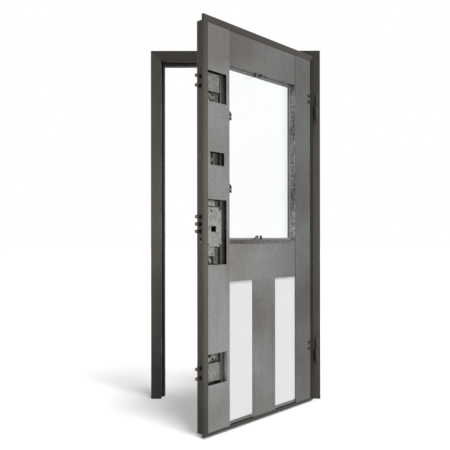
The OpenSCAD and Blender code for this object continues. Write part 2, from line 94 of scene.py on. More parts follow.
# Signed volume of a closed shell: the sum over its triangles of a . (b x c) / 6.
def signedVolume(points, faces):
    total = 0.0
    for group in faces:
        for k in range(1, group.shape[1] - 1):
            a, b, c = points[group[:, 0]], points[group[:, k]], points[group[:, k + 1]]
            total += np.einsum("ij,ij->", a, np.cross(b, c)) / 6
    return total


# A grid of points (stations, around, 3) as quads: point (i, j) joins (i + 1, j) and (i, j + 1).
# Open ends are closed by one flat face each.
def gridShell(grid, wrapStations=False):
    stations, around = grid.shape[:2]
    index = np.arange(stations * around).reshape(stations, around)
    nextRow = np.roll(index, -1, 0)[: stations if wrapStations else stations - 1]
    row = index[: len(nextRow)]
    quads = np.stack([row, np.roll(row, -1, 1), np.roll(nextRow, -1, 1), nextRow], -1).reshape(-1, 4)
    faces = [quads]
    if not wrapStations:
        faces += [index[:1, ::-1], index[-1:]]
    return grid.reshape(-1, 3), faces


# A rectangle with round corners: quarter circles of the corner radius at its four corners, in order.
def roundRect(centre, width, height, radius, steps=4):
    quarter = np.linspace(0, math.pi / 2, steps + 1)
    angle = (np.arange(4)[:, None] * math.pi / 2 + quarter).ravel()
    signs = np.repeat([[1, 1], [-1, 1], [-1, -1], [1, -1]], steps + 1, 0)
    corner = signs * [width / 2 - radius, height / 2 - radius]
    return np.array(centre) + corner + radius * np.stack([np.cos(angle), np.sin(angle)], -1)


# The same from its edges.
def openingLoop(left, right, bottom, top, corner=2.5, steps=4):
    return roundRect(((left + right) / 2, (bottom + top) / 2), right - left, top - bottom, corner, steps)


# A circle of points: centre + radius * (cos t, sin t).
def circle(centre, radius, count=24):
    angle = np.linspace(0, 2 * math.pi, count, endpoint=False)
    return np.array(centre) + radius * np.stack([np.cos(angle), np.sin(angle)], -1)


# A block with round edges, low to high: round rectangles stacked along the third axis, drawn in by
# r (1 - sin t) where the level is r (1 - cos t) from an end.
def roundBlock(low, high, radius, corner=None, steps=3):
    low, high = np.array(low, float), np.array(high, float)
    turn = np.linspace(0, math.pi / 2, steps + 1)
    inset = radius * (1 - np.sin(turn))
    rise = radius * (1 - np.cos(turn))
    insets = np.concatenate([inset, inset[::-1]])
    levels = np.concatenate([low[2] + rise, high[2] - rise[::-1]])
    corner = corner or radius
    rings = []
    for drawn, level in zip(insets, levels):
        ring = roundRect((low + high)[:2] / 2, *(high - low)[:2] - 2 * drawn, max(corner - drawn, 0.1 * corner))
        rings.append(np.column_stack([ring, np.full(len(ring), level)]))
    return gridShell(np.array(rings))


# A turned piece: rows of (radius, distance along the axis, how far it is a hexagon) go round the axis,
# with radius * cos(30) / cos(angle from the middle of a flat) where it is a hexagon.
def turned(rows, centre, axis, sides=24):
    rows = np.array([list(row) + [0] * (3 - len(row)) for row in rows], float)
    axis = np.array(axis, float)
    across = np.cross(axis, [0, 0, 1]) if abs(axis[2]) < 0.9 else np.array([1.0, 0, 0])
    across /= np.linalg.norm(across)
    other = np.cross(axis, across)
    angle = np.linspace(0, 2 * math.pi, sides, endpoint=False)
    hexagon = math.cos(math.pi / 6) / np.cos(angle % (math.pi / 3) - math.pi / 6)
    radius = rows[:, :1] * (1 + rows[:, 2:] * (hexagon - 1))
    grid = (np.array(centre, float) + rows[:, 1, None, None] * axis
            + radius[..., None] * (np.cos(angle)[:, None] * across + np.sin(angle)[:, None] * other))
    return gridShell(grid)


# A profile carried round a rectangle with mitred corners: profile rows are (inwards, depth), and
# each corner of the rectangle moves in by the same amount both ways.
def carriedRound(profile, low, high, sides="closed"):
    inwards, depth = np.array(profile, float).T
    x0, x1 = low[0] + inwards, high[0] - inwards
    z0, z1 = low[1] + inwards, high[1] - inwards
    if sides == "closed":
        stations = [(x0, z0), (x1, z0), (x1, z1), (x0, z1)]
    else:  # up one side, across the top and down the other
        stations = [(x0, 0 * x0 + low[1]), (x0, z1), (x1, z1), (x1, 0 * x1 + low[1])]
    grid = np.array([np.column_stack([x, depth, z]) for x, z in stations])
    return gridShell(grid, sides == "closed")


bendMargin = 0.4  # length of flat sheet kept as its own strip on each side of a bend


# A bent line: straight runs between corners joined by arcs. Corner rows are (a, b) and then values
# that go evenly from corner to corner, such as where the sheet ends. side is +1 where the sheet's
# thickness lies to the left of the line, and -1 where it lies to the right.
def foldLine(corners, thickness, bend, side, steps=4):
    corners = np.array(corners, float)
    spots, ends = corners[:, :2], corners[:, 2:]
    run = np.diff(spots, axis=0)
    run /= np.linalg.norm(run, axis=1)[:, None]
    left = np.column_stack([-run[:, 1], run[:, 0]])
    points, normals, middle = [spots[0]], [left[0]], [0]
    for i in range(1, len(spots) - 1):
        turn = math.atan2(run[i - 1][0] * run[i][1] - run[i - 1][1] * run[i][0], run[i - 1] @ run[i])
        radius = bend + (thickness if turn * side > 0 else 0)
        reach = radius * math.tan(abs(turn) / 2)
        centre = spots[i] - reach * run[i - 1] + math.copysign(radius, turn) * left[i - 1]
        angle = np.linspace(0, turn, steps + 1)[:, None]
        spoke = -math.copysign(1, turn) * left[i - 1]
        normal = np.cos(angle) * spoke + np.sin(angle) * np.array([-spoke[1], spoke[0]])
        arc = centre + radius * normal
        middle.append(len(points) + 1 + steps // 2)
        points += [arc[0] - bendMargin * run[i - 1], *arc, arc[-1] + bendMargin * run[i]]
        outward = -math.copysign(1, turn) * normal
        normals += [left[i - 1], *outward, left[i]]
    points.append(spots[-1])
    normals.append(left[-1])
    points, normals = np.array(points), np.array(normals)
    u = np.concatenate([[0], np.cumsum(np.linalg.norm(np.diff(points, axis=0), axis=1))])
    middle = np.array(middle + [len(points) - 1])
    values = np.column_stack([np.interp(u, u[middle], column) for column in ends.T])
    return {"u": u, "points": points, "normals": normals * side, "ends": values}


# Length along the bent line to its point nearest (a, b).
def alongFold(fold, a, b):
    start, step = fold["points"][:-1], np.diff(fold["points"], axis=0)
    share = np.clip(np.einsum("ij,ij->i", [a, b] - start, step) / np.einsum("ij,ij->i", step, step), 0, 1)
    gap = np.linalg.norm(start + share[:, None] * step - [a, b], axis=1)
    best = gap.argmin()
    return fold["u"][best] + share[best] * np.diff(fold["u"])[best]


# Even-odd rule: a point is inside a loop if a line from it crosses the loop an odd number of times.
def insideLoop(points, loop):
    ahead = np.roll(loop, -1, 0)
    x, y = points[:, :1], points[:, 1:]
    rising = (loop[:, 1] > y) != (ahead[:, 1] > y)
    slope = (ahead[:, 0] - loop[:, 0]) / np.where(ahead[:, 1] == loop[:, 1], 1, ahead[:, 1] - loop[:, 1])
    return (rising & (x < loop[:, 0] + slope * (y - loop[:, 1]))).sum(1) % 2 == 1


# Cuts a flat pattern: the triangles inside the first loop and outside the others, all turned one way, and
# the edges that only one triangle has. Creases are pairs of point numbers that stay edges.
def cutPattern(loops, creases=()):
    loops = [np.array(loop, float) for loop in loops]
    start = np.cumsum([0] + [len(loop) for loop in loops])
    edges = [np.column_stack([first + np.arange(len(loop)), first + np.roll(np.arange(len(loop)), -1)])
             for first, loop in zip(start, loops)]
    edges = np.concatenate([*edges, np.array(creases, int).reshape(-1, 2)])
    cut = delaunay_2d_cdt([tuple(p) for p in np.concatenate(loops)], edges.tolist(), [], 1, 1e-4)
    flat = np.array([tuple(p) for p in cut[0]], float)
    tris = np.array(cut[2])
    middle = flat[tris].mean(1)
    keep = insideLoop(middle, loops[0])
    for hole in loops[1:]:
        keep &= ~insideLoop(middle, hole)
    tris = tris[keep]
    a, b, c = (flat[tris[:, k]] for k in range(3))
    area = (b - a)[:, 0] * (c - a)[:, 1] - (b - a)[:, 1] * (c - a)[:, 0]
    tris = np.where((area < 0)[:, None], tris[:, ::-1], tris)[np.abs(area) > 1e-6]
    used, tris = np.unique(tris, return_inverse=True)
    flat, tris = flat[used], tris.reshape(-1, 3)
    sides = np.concatenate([tris[:, [0, 1]], tris[:, [1, 2]], tris[:, [2, 0]]])
    _, first, times = np.unique(np.sort(sides, 1) @ [len(flat), 1], return_index=True, return_counts=True)
    return flat, tris, sides[first[times == 1]]


# Closes the space between two copies of a cut pattern with walls along its edges.
def closedBetween(front, back, tris, rim):
    size = len(front)
    walls = np.column_stack([rim[:, 1], rim[:, 0], rim[:, 0] + size, rim[:, 1] + size])
    return np.concatenate([front, back]), [tris, tris[:, ::-1] + size, walls]


# A folded sheet: a pattern (u along the bent line, v across it) is cut out with its holes, then carried
# onto the bent line, once on the line and once a thickness along its normals. Holes are loops of (u, v).
def foldedSheet(fold, thickness, holes=()):
    u, count = fold["u"], len(fold["u"])
    outline = np.concatenate([np.column_stack([u, fold["ends"][:, 0]]),
                              np.column_stack([u, fold["ends"][:, 1]])[::-1]])
    across = np.column_stack([np.arange(count), 2 * count - 1 - np.arange(count)])[1:-1]
    flat, tris, rim = cutPattern([outline, *holes], across)
    onLine = np.column_stack([np.interp(flat[:, 0], u, column) for column in fold["points"].T])
    normal = np.column_stack([np.interp(flat[:, 0], u, column) for column in fold["normals"].T])
    return closedBetween(np.column_stack([onLine, flat[:, 1]]),
                         np.column_stack([onLine + thickness * normal, flat[:, 1]]), tris, rim)


# A flat plate between two levels: an outline loop and its holes, carried straight through.
def flatPlate(outline, holes, low, high):
    flat, tris, rim = cutPattern([outline, *holes])
    front, back = (np.column_stack([flat, np.full(len(flat), level)]) for level in (low, high))
    return closedBetween(front, back, tris, rim)


# Puts shells into one mesh: each is placed, turned outwards by the sign of its volume, and joined.
def makePiece(name, shells, place, body, material, replaces=(), smooth=40):
    allPoints, allFaces, offset = [], [], 0
    for points, faces in shells:
        points = place(points)
        if signedVolume(points - points.mean(0), faces) < 0:
            faces = [group[:, ::-1] for group in faces]
        allPoints.append(points)
        for group in faces:
            allFaces += (group + offset).tolist()
        offset += len(points)
    mesh = bpy.data.meshes.new(name)
    mesh.from_pydata(np.concatenate(allPoints), [], allFaces)
    mesh.polygons.foreach_set("use_smooth", np.ones(len(mesh.polygons), bool))
    mesh.set_sharp_from_angle(angle=math.radians(smooth))
    mesh.materials.append(material)
    mesh.update()
    piece = bpy.data.objects.new(name, mesh)
    bpy.context.scene.collection.objects.link(piece)
    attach(piece, body)
    if replaces:
        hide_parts(*replaces)
    return piece


# sRGB shade from 0 to 255 as a linear colour.
def shade(red, green, blue):
    values = [value / 255 for value in (red, green, blue)]
    return [v / 12.92 if v <= 0.04045 else ((v + 0.055) / 1.055) ** 2.4 for v in values] + [1]


# A small helper round one material's node tree.
class Surface:
    def __init__(self, name):
        self.material = bpy.data.materials.new(name)
        self.material.use_nodes = True
        self.tree = self.material.node_tree
        self.shader = next(n for n in self.tree.nodes if n.type == "BSDF_PRINCIPLED")
        self.coordinates = self.add("ShaderNodeTexCoord").outputs["Object"]

    def add(self, kind, **settings):
        node = self.tree.nodes.new(kind)
        for key, value in settings.items():
            setattr(node, key, value)
        return node

    def link(self, source, target):
        self.tree.links.new(source, target)

    def stretched(self, scale):
        mapping = self.add("ShaderNodeMapping")
        mapping.inputs["Scale"].default_value = scale
        self.link(self.coordinates, mapping.inputs["Vector"])
        return mapping.outputs["Vector"]

    def noise(self, scale, detail=3.0, roughness=0.5, vector=None):
        node = self.add("ShaderNodeTexNoise")
        node.inputs["Scale"].default_value = scale
        node.inputs["Detail"].default_value = detail
        node.inputs["Roughness"].default_value = roughness
        self.link(vector or self.coordinates, node.inputs["Vector"])
        return node.outputs["Fac"]

    def cells(self, scale, feature="F1"):
        node = self.add("ShaderNodeTexVoronoi", feature=feature)
        node.inputs["Scale"].default_value = scale
        self.link(self.coordinates, node.inputs["Vector"])
        return node

    def spread(self, source, low, high, fromLow=0.3, fromHigh=0.7):
        node = self.add("ShaderNodeMapRange")
        for key, value in (("From Min", fromLow), ("From Max", fromHigh), ("To Min", low), ("To Max", high)):
            node.inputs[key].default_value = value
        self.link(source, node.inputs["Value"])
        return node.outputs["Result"]

    # inputs["A"] by name gives the float pair of a Mix node, so the colour pair is picked by type
    def colourMix(self, factor, first, second, blend="MIX"):
        node = self.add("ShaderNodeMix", data_type="RGBA", blend_type=blend)
        pair = [socket for socket in node.inputs if socket.type == "RGBA"]
        for socket, value in ((node.inputs[0], factor), (pair[0], first), (pair[1], second)):
            if isinstance(value, bpy.types.NodeSocket):
                self.link(value, socket)
            else:
                socket.default_value = value
        return next(socket for socket in node.outputs if socket.type == "RGBA")

    # Two or three soft colours evenly spaced along a line, from and to in metres, bent a little by noise: painted light
    # and shade along the piece.
    def paintedShadeRamp(self, colours, line, span, waver=0.05):
        start, direction = line
        offset = self.add("ShaderNodeVectorMath", operation="SUBTRACT")
        offset.inputs[1].default_value = start
        self.link(self.coordinates, offset.inputs[0])
        reach = self.add("ShaderNodeVectorMath", operation="DOT_PRODUCT")
        reach.inputs[1].default_value = direction
        self.link(offset.outputs[0], reach.inputs[0])
        bent = self.add("ShaderNodeMath", operation="ADD")
        self.link(reach.outputs["Value"], bent.inputs[0])
        self.link(self.spread(self.noise(4.5, 2), -waver, waver), bent.inputs[1])
        ramp = self.add("ShaderNodeValToRGB")
        self.link(self.spread(bent.outputs[0], 0, 1, *span), ramp.inputs["Fac"])
        ramp.color_ramp.interpolation = "B_SPLINE"
        stops = ramp.color_ramp.elements
        while len(stops) < len(colours):
            stops.new(0.5)
        for k, (stop, colour) in enumerate(zip(stops, colours)):
            stop.position = k / (len(colours) - 1)
            stop.color = colour
        return ramp.outputs["Color"]

    # 1 on worn outer edges, in patches, and 0 elsewhere: where a rounded normal leaves the flat one.
    def wear(self, radius=0.0014, patches=60):
        bevel = self.add("ShaderNodeBevel", samples=4)
        bevel.inputs["Radius"].default_value = radius
        flat = self.add("ShaderNodeNewGeometry").outputs["Normal"]
        dot = self.add("ShaderNodeVectorMath", operation="DOT_PRODUCT")
        self.link(bevel.outputs["Normal"], dot.inputs[0])
        self.link(flat, dot.inputs[1])
        both = self.add("ShaderNodeMath", operation="MULTIPLY")
        self.link(self.spread(dot.outputs["Value"], 1, 0, 0.8, 0.99), both.inputs[0])
        self.link(self.spread(self.noise(patches, 4), 0, 1, 0.42, 0.62), both.inputs[1])
        return both.outputs[0]

    def bump(self, height, strength, distance, after=None):
        node = self.add("ShaderNodeBump")
        node.inputs["Strength"].default_value = strength
        node.inputs["Distance"].default_value = distance
        self.link(height, node.inputs["Height"])
        if after:
            self.link(after, node.inputs["Normal"])
        return node.outputs["Normal"]

    def finish(self, colour, roughness, normal, **plain):
        self.link(colour, self.shader.inputs["Base Color"])
        if isinstance(roughness, bpy.types.NodeSocket):
            self.link(roughness, self.shader.inputs["Roughness"])
        else:
            self.shader.inputs["Roughness"].default_value = roughness
        if normal:
            self.link(normal, self.shader.inputs["Normal"])
        for key, value in plain.items():
            self.shader.inputs[key].default_value = value
        return self.material


upwards = (0, 0, 0), (0, 0, 1)
leafStart, leafEnd = onLeaf(np.array([[0, 0, 0], [1000, 0, 0]], float))
acrossLeaf = tuple(leafStart), tuple(leafEnd - leafStart)
fullHeight, leafWidth = (0, 2.2), (0.1, 0.85)


# A warm brown or a neutral zinc grey of the given lightness, from 0 to 255.
def brownTone(lightness):
    return shade(lightness, 0.95 * lightness, 0.9 * lightness)


def zincTone(lightness):
    return shade(lightness, lightness, 0.98 * lightness)


# Powder coat: painted light and shade from foot to head, soft clouds, a fine fleck, edges worn lighter and an
# orange-peel skin.
def paintMaterial(name, levels):
    s = Surface(name)
    colour = s.paintedShadeRamp([brownTone(level) for level in levels], upwards, fullHeight, 0.08)
    clouds = s.spread(s.noise(2.2, 3), 0.9, 1.1)
    grey = s.add("ShaderNodeCombineColor")
    for channel in ("Red", "Green", "Blue"):
        s.link(clouds, grey.inputs[channel])
    colour = s.colourMix(1.0, colour, grey.outputs["Color"], "MULTIPLY")
    colour = s.colourMix(s.spread(s.noise(420, 2), 0, 0.25, 0.5, 0.75), colour, shade(105, 100, 95))
    worn = s.add("ShaderNodeMath", operation="MULTIPLY")
    s.link(s.wear(), worn.inputs[0])
    worn.inputs[1].default_value = 0.35
    colour = s.colourMix(worn.outputs[0], colour, shade(130, 125, 115))
    rough = s.spread(s.noise(9, 4), 0.4, 0.56)
    skin = s.bump(s.noise(650, 2), 0.25, 0.0004)
    return s.finish(colour, rough, s.bump(s.noise(6, 1), 0.1, 0.004, skin), **{"Specular IOR Level": 0.1})


# Galvanised sheet: painted light and shade along the height or across the leaf, broad clouds that are warm where dark
# and cool where light, faint spangle cells, streaks from rolling, edges rubbed bright and a low ripple.
def zincMaterial(name, levels, line=upwards, span=fullHeight, spangle=80, contrast=0.06, metallic=0.8,
                 rough=(0.36, 0.5)):
    s = Surface(name)
    colour = s.paintedShadeRamp([zincTone(level) for level in levels], line, span)
    warm = s.colourMix(1.0, colour, (0.85, 0.8, 0.8, 1), "MULTIPLY")
    cool = s.colourMix(1.0, colour, (1.2, 1.25, 1.25, 1), "MULTIPLY")
    colour = s.colourMix(s.spread(s.noise(2.2, 2, 0.4), 0, 1, 0.38, 0.62), warm, cool)
    cell = s.cells(spangle)
    tone = s.add("ShaderNodeSeparateColor")
    s.link(cell.outputs["Color"], tone.inputs["Color"])
    grain = s.spread(tone.outputs["Red"], 1 - contrast, 1 + contrast, 0, 1)
    grey = s.add("ShaderNodeCombineColor")
    for channel in ("Red", "Green", "Blue"):
        s.link(grain, grey.inputs[channel])
    colour = s.colourMix(1.0, colour, grey.outputs["Color"], "MULTIPLY")
    streaks = s.spread(s.noise(34, 4, 0.6, s.stretched((1, 1, 0.06))), 0, 0.16, 0.45, 0.75)
    colour = s.colourMix(streaks, colour, zincTone(0.7 * levels[0]))
    worn = s.add("ShaderNodeMath", operation="MULTIPLY")
    s.link(s.wear(), worn.inputs[0])
    worn.inputs[1].default_value = 0.5
    colour = s.colourMix(worn.outputs[0], colour, shade(180, 180, 175))
    roughness = s.spread(s.noise(14, 4), *rough)
    ripple = s.bump(s.noise(5, 1), 0.35, 0.006)
    return s.finish(colour, roughness, s.bump(tone.outputs["Green"], 0.05, 0.0003, ripple), Metallic=metallic)


# Plain worked metal: one tone with fine scratches along z and clouded roughness.
def metalMaterial(name, tone, dark, rough, metallic=0.9, lines=(1, 1, 0.05)):
    s = Surface(name)
    colour = s.colourMix(s.spread(s.noise(70, 5, 0.65), 0, 1, 0.38, 0.58), shade(*dark), shade(*tone))
    colour = s.colourMix(s.wear(0.0008, 120), colour, shade(*[min(255, 1.25 * value) for value in tone]))
    scratch = s.noise(900, 2, 0.5, s.stretched(lines))
    roughness = s.spread(s.noise(45, 3), *rough)
    return s.finish(colour, roughness, s.bump(scratch, 0.2, 0.0002), Metallic=metallic)


# Moulded foam: white beads pressed together, darker and lower at the joins between them.
def foamMaterial(name, white, join, bead):
    s = Surface(name)
    edge = s.cells(bead, "DISTANCE_TO_EDGE").outputs["Distance"]
    colour = s.colourMix(s.spread(edge, 0, 1, 0.0, 0.16), shade(*join), shade(*white))
    colour = s.colourMix(s.spread(s.noise(3, 2), 0, 0.5), colour, shade(*[v - 4 for v in white]))
    height = s.spread(edge, 0, 1, 0.0, 0.25)
    return s.finish(colour, s.spread(s.noise(30, 2), 0.75, 0.9), s.bump(height, 0.3, 0.0008))


def rubberMaterial(name, tone, dust):
    s = Surface(name)
    colour = s.colourMix(s.spread(s.noise(40, 4), 0, 0.5, 0.5, 0.8), shade(*tone), shade(*dust))
    return s.finish(colour, s.spread(s.noise(90, 2), 0.5, 0.7), s.bump(s.noise(800, 2), 0.2, 0.0003))


# Clear glass with the faintest ripple; its faint green is the glass's own.
def glassMaterial(name, tint):
    s = Surface(name)
    colour = s.colourMix(s.spread(s.noise(1.5, 1), 0, 1), shade(*tint), shade(250, 253, 252))
    return s.finish(colour, 0.0, s.bump(s.noise(2, 0), 0.02, 0.002), **{"Transmission Weight": 1.0, "IOR": 1.5})


# Lightness at even steps: foot, middle and head, or from the lock side to the hinge side. These levels are painted
# light and shade: each piece's copy of the one brown paint, and of the one galvanised zinc, is lighter or darker as the
# light fell on it.
finishes = {
    # the head: the frame's brown made darker, painted shade
    "brownHeadPaintedShade": paintMaterial("brownHeadPaintedShade", (55, 55)),
    "brown": paintMaterial("brownFramePaintedLightAndShade", (40, 110, 50)),
    "brownHinge": paintMaterial("brownHingeJambPaintedLightAndShade", (60, 90, 50)),
    "brownTrimPaintedLightAndShade": paintMaterial("brownTrimPaintedLightAndShade", (50, 100, 60)),
    # the hinge side's trim: the same brown made very dark, painted shade for its lip in shadow
    "brownPaintedShade": paintMaterial("brownHingeTrimPaintedShade", (30, 30)),
    # copies of the one galvanised zinc, set lighter or darker piece by piece as the light fell on them: painted light
    # and shade; the hinge strip's lower level is painted shade, and the panels' fall from the lock side to the hinge
    # side is painted light and shade
    "lockStrip": zincMaterial("zincLockStripPaintedLight", (130, 130)),
    "hingeStrip": zincMaterial("zincHingeStripPaintedShade", (100, 100)),
    "topPanel": zincMaterial("zincTopPanelPaintedLightAndShade", (110, 120, 100), acrossLeaf, leafWidth),
    "midPanel": zincMaterial("zincMidPanelPaintedLightAndShade", (150, 120, 100), acrossLeaf, leafWidth),
    "stiffener": zincMaterial("zincStiffener", (120, 110)),
    "reveal": zincMaterial("zincRevealsPaintedLightAndShade", (160, 120), spangle=95, contrast=0.5),
    "sill": zincMaterial("zincSill", (100, 100), spangle=95, contrast=0.3),
    "outer": zincMaterial("zincOuterSheet", (125, 130), spangle=60, contrast=0.12),
    # zinc of the parts inside the leaf made darker: painted shade
    "inside": zincMaterial("zincInsidePaintedShade", (110, 110)),
    "bright": metalMaterial("brightZinc", (160, 160, 155), (130, 130, 125), (0.3, 0.46), 0.75),
    "dull": metalMaterial("dullSteel", (110, 110, 105), (85, 85, 80), (0.35, 0.55), 0.5),
    "plate": metalMaterial("deviatorPlate", (140, 140, 135), (105, 105, 100), (0.35, 0.5), 0.7),
    "clip": metalMaterial("clipSteel", (110, 110, 110), (65, 65, 60), (0.35, 0.5), 0.6),
    "steel": metalMaterial("turnedSteel", (115, 115, 110), (80, 75, 75), (0.24, 0.38), 0.95, (1, 1, 1)),
    "foam": foamMaterial("foamBeads", (215, 215, 215), (200, 200, 200), 230),
    "rubber": rubberMaterial("sealRubber", (25, 25, 25), (60, 60, 55)),
    "gasket": rubberMaterial("glazingRubber", (150, 150, 150), (165, 165, 165)),
    "glass": glassMaterial("clearGlass", (252, 255, 254)),
    "hole": metalMaterial("darkInside", (45, 40, 40), (30, 25, 25), (0.6, 0.8), 0.2),
}
bySlot = {"brown_paint": "brown", "galvanised_sheet": "outer", "zinc_plate": "bright", "foam_board": "foam",
          "seal_rubber": "rubber", "bolt_steel": "steel", "clear_glass": "glass"}
for part in frame["record"]["subparts"]:
    mesh = frame["nodes"][part["node"]].data
    mesh.materials.clear()
    mesh.materials.append(finishes[bySlot[part["material_slot"]]])
print("materials made:", len(finishes))


def brownPiece(name, shells, place, body, replaces=(), finish="brown"):
    return makePiece(name, shells, place, body, finishes[finish], replaces)


def zincPiece(name, shells, replaces=(), finish="outer", place=onLeaf):
    return makePiece(name, shells, place, "leaf", finishes[finish], replaces)


def brightPiece(name, shells, replaces=(), finish="bright", place=onLeaf):
    return makePiece(name, shells, place, "leaf", finishes[finish], replaces)


view = {
    "place": (-0.5795, -3.6801, 1.0045),
    "turn": (math.pi / 2 + 0.0019, 0.0010, 0.0022),
    "lens": 47.02,
    "shift": (-0.0030, 0.0269),
}
camera = bpy.data.objects.new("camera", bpy.data.cameras.new("camera"))
camera.data.sensor_width = 36
camera.data.lens = view["lens"]
camera.data.shift_x, camera.data.shift_y = view["shift"]
camera.location = view["place"]
camera.rotation_euler = Euler(view["turn"])
bpy.context.scene.collection.objects.link(camera)
bpy.context.scene.camera = camera

stage = {"ambient": 0.42, "floorRadius": 60, "floorTone": 0.68, "lift": 0.175}
suns = {  # where each soft sun stands, how strong it is and how wide in degrees
    "high": ((0.44, -0.63, 1.95), 2.95, 17),
    "low": ((2.4, -2.6, 0.85), 0.75, 26),
}
lamps = {  # place, aim, size and power of each soft lamp
    "back": ((0.8, 3.4, 2.6), (-0.5, 0, 1.1), 2.2, 20),
}


# A lamp at a place, turned to aim, that no glass or mirror shows.
def addLamp(name, kind, place, aim, **settings):
    lamp = bpy.data.objects.new(name + "Lamp", bpy.data.lights.new(name + "Lamp", kind))
    for key, value in settings.items():
        setattr(lamp.data, key, value)
    lamp.location = place
    x, y, z = np.array(aim, float) - place
    lamp.rotation_euler = (math.atan2(math.hypot(x, y), -z), 0, math.atan2(y, x) - math.pi / 2)
    lamp.visible_glossy = lamp.visible_transmission = False
    bpy.context.scene.collection.objects.link(lamp)


for name, (place, strength, width) in suns.items():
    addLamp(name, "SUN", place, (0, 0, 0), energy=strength, angle=math.radians(width))
for name, (place, aim, size, power) in lamps.items():
    addLamp(name, "AREA", place, aim, shape="DISK", size=size, energy=power)


# 1 where a ray comes from the camera, a mirror-like surface or glass, and 0 elsewhere.
def seenRay(tree):
    path = tree.nodes.new("ShaderNodeLightPath")
    total = tree.nodes.new("ShaderNodeMath")
    total.operation, total.use_clamp = "ADD", True
    more = tree.nodes.new("ShaderNodeMath")
    more.operation, more.use_clamp = "ADD", True
    tree.links.new(path.outputs["Is Camera Ray"], total.inputs[0])
    tree.links.new(path.outputs["Is Glossy Ray"], total.inputs[1])
    tree.links.new(total.outputs[0], more.inputs[0])
    tree.links.new(path.outputs["Is Transmission Ray"], more.inputs[1])
    return more.outputs[0]


world = bpy.data.worlds.new("studio")
world.use_nodes = True
bpy.context.scene.world = world
background = world.node_tree.nodes["Background"]
level = world.node_tree.nodes.new("ShaderNodeMapRange")
level.inputs["To Min"].default_value, level.inputs["To Max"].default_value = stage["ambient"], 1
world.node_tree.links.new(seenRay(world.node_tree), level.inputs["Value"])
world.node_tree.links.new(level.outputs["Result"], background.inputs["Strength"])
background.inputs["Color"].default_value = (1, 1, 1, 1)

floorMaterial = bpy.data.materials.new("paleFloor")
floorMaterial.use_nodes = True
floorShader = floorMaterial.node_tree.nodes["Principled BSDF"]
floorShader.inputs["Base Color"].default_value = [stage["floorTone"]] * 3 + [1]
floorShader.inputs["Roughness"].default_value = 1
floorShader.inputs["Specular IOR Level"].default_value = 0
floorShader.inputs["Emission Color"].default_value = (1, 1, 1, 1)
lift = floorMaterial.node_tree.nodes.new("ShaderNodeMath")
lift.operation = "MULTIPLY"
lift.inputs[1].default_value = stage["lift"]
floorMaterial.node_tree.links.new(seenRay(floorMaterial.node_tree), lift.inputs[0])
floorMaterial.node_tree.links.new(lift.outputs[0], floorShader.inputs["Emission Strength"])
floorMesh = bpy.data.meshes.new("floor")
rim = circle((-0.53, 0), stage["floorRadius"], 96)
floorMesh.from_pydata(np.column_stack([rim, np.full(len(rim), -0.0005)]), [], [list(range(len(rim)))])
floorMesh.materials.append(floorMaterial)
floor = bpy.data.objects.new("floor", floorMesh)
bpy.context.scene.collection.objects.link(floor)
bpy.context.scene.view_settings.view_transform = "Standard"
print("camera, lamps and floor set")


# Lowest and highest z of each run of points along z that no gap wider than this splits.
def zRuns(points, gap):
    z = np.unique(np.round(points[:, 2], 2))
    cuts = np.flatnonzero(np.diff(z) > gap)
    return list(zip(z[np.concatenate([[0], cuts + 1])], z[np.concatenate([cuts, [len(z) - 1]])]))


def middles(node, gap=10):
    return [(low + high) / 2 for low, high in zRuns(nodePoints(node), gap)]


headPoints, sealPoints = nodePoints("frame_head"), nodePoints("frame_seal")
frameLeft, frameTop, frameDepth = headPoints[:, 0].min(), headPoints[:, 2].max(), headPoints[:, 1].max()
frameFace = -sealPoints[:, 0].max()
frameReach = frameTop - headPoints[:, 2].min()
stopDepth = sealPoints[:, 1].max()
fixingHeights = [(mount["pos_m"][2] + k * mount["dims"]["spacing_y_mm"] * mm / 2) / mm
                 for mount in frame["record"]["mounts"] if mount["name"].startswith("hinge_side_") and mount["dims"]
                 for k in (-1, 1)]
fixingDepth = 48

lipHigh = leafBox("top_edge_trim")[1]
lipWidth, lipTop, lipBottom = lipHigh[0], lipHigh[2], leafBox("bottom_edge_trim")[0][2]
stripLow, stripHigh = leafBox("lock_strip")
fieldLeft, fieldBottom, fieldTop = stripLow[0], stripLow[2], stripHigh[2]
sheetLow, sheetHigh = leafBox("outer_sheet")
leafDepth = lipHigh[1]
trimSheet = 2
bodyLeft, bodyBottom, bodyTop = sheetLow[0] - trimSheet, sheetLow[2] - trimSheet, sheetHigh[2] + trimSheet
lipDepth, outerReturn = 18, 22
windowLeft, windowRight = stripHigh[0], leafBox("hinge_strip")[0][0]
windowBottom, windowTop = leafBox("hinge_side_reveal")[0][2], leafBox("hinge_side_reveal")[1][2]
boltDepth = float(np.mean(leafBox("main_bolts"), 0)[1])
boltGroups = {name: middles(name) for name in ("main_bolts", "upper_bolts", "lower_bolts")}
boltHeights = sum(boltGroups.values(), [])
bodyAxis, inwardAxis = (1, 0, 0), (0, -1, 0)  # along the leaf's width, and out of its inner face


# A screw: a low round head with a hexagon recess, standing out of the surface at its centre.
def screw(centre, axis, radius, height, socket=0.45):
    return turned([(0.9 * radius, 0), (radius, 0.2 * height), (radius, 0.55 * height), (0.8 * radius, 0.9 * height),
                   (0.62 * radius, height), (socket * radius, height, 1), (socket * radius, 0.35 * height, 1),
                   (0.05 * radius, 0.3 * height)], centre, axis)


jamb = {"sheet": 2, "bend": 1.6, "seam": 0.25, "fixingRadius": 5.5, "accessRadius": 7,
        "slotCorner": 3, "dogSlot": (27, 24), "dogSlotDepth": 19.5}


# The frame's section from its back seam round to the seam again: rows of inwards, depth and the
# heights where the sheet starts and stops. The stop is mitred, one in for one up.
def frameSection(start, stop):
    spots = [(0, 60), (0, 0), (frameFace, 0), (frameFace, stopDepth), (frameReach, stopDepth),
             (frameReach, frameDepth), (0, frameDepth), (0, 60.6)]
    return [(a, b, start(a), stop(a)) for a, b in spots]


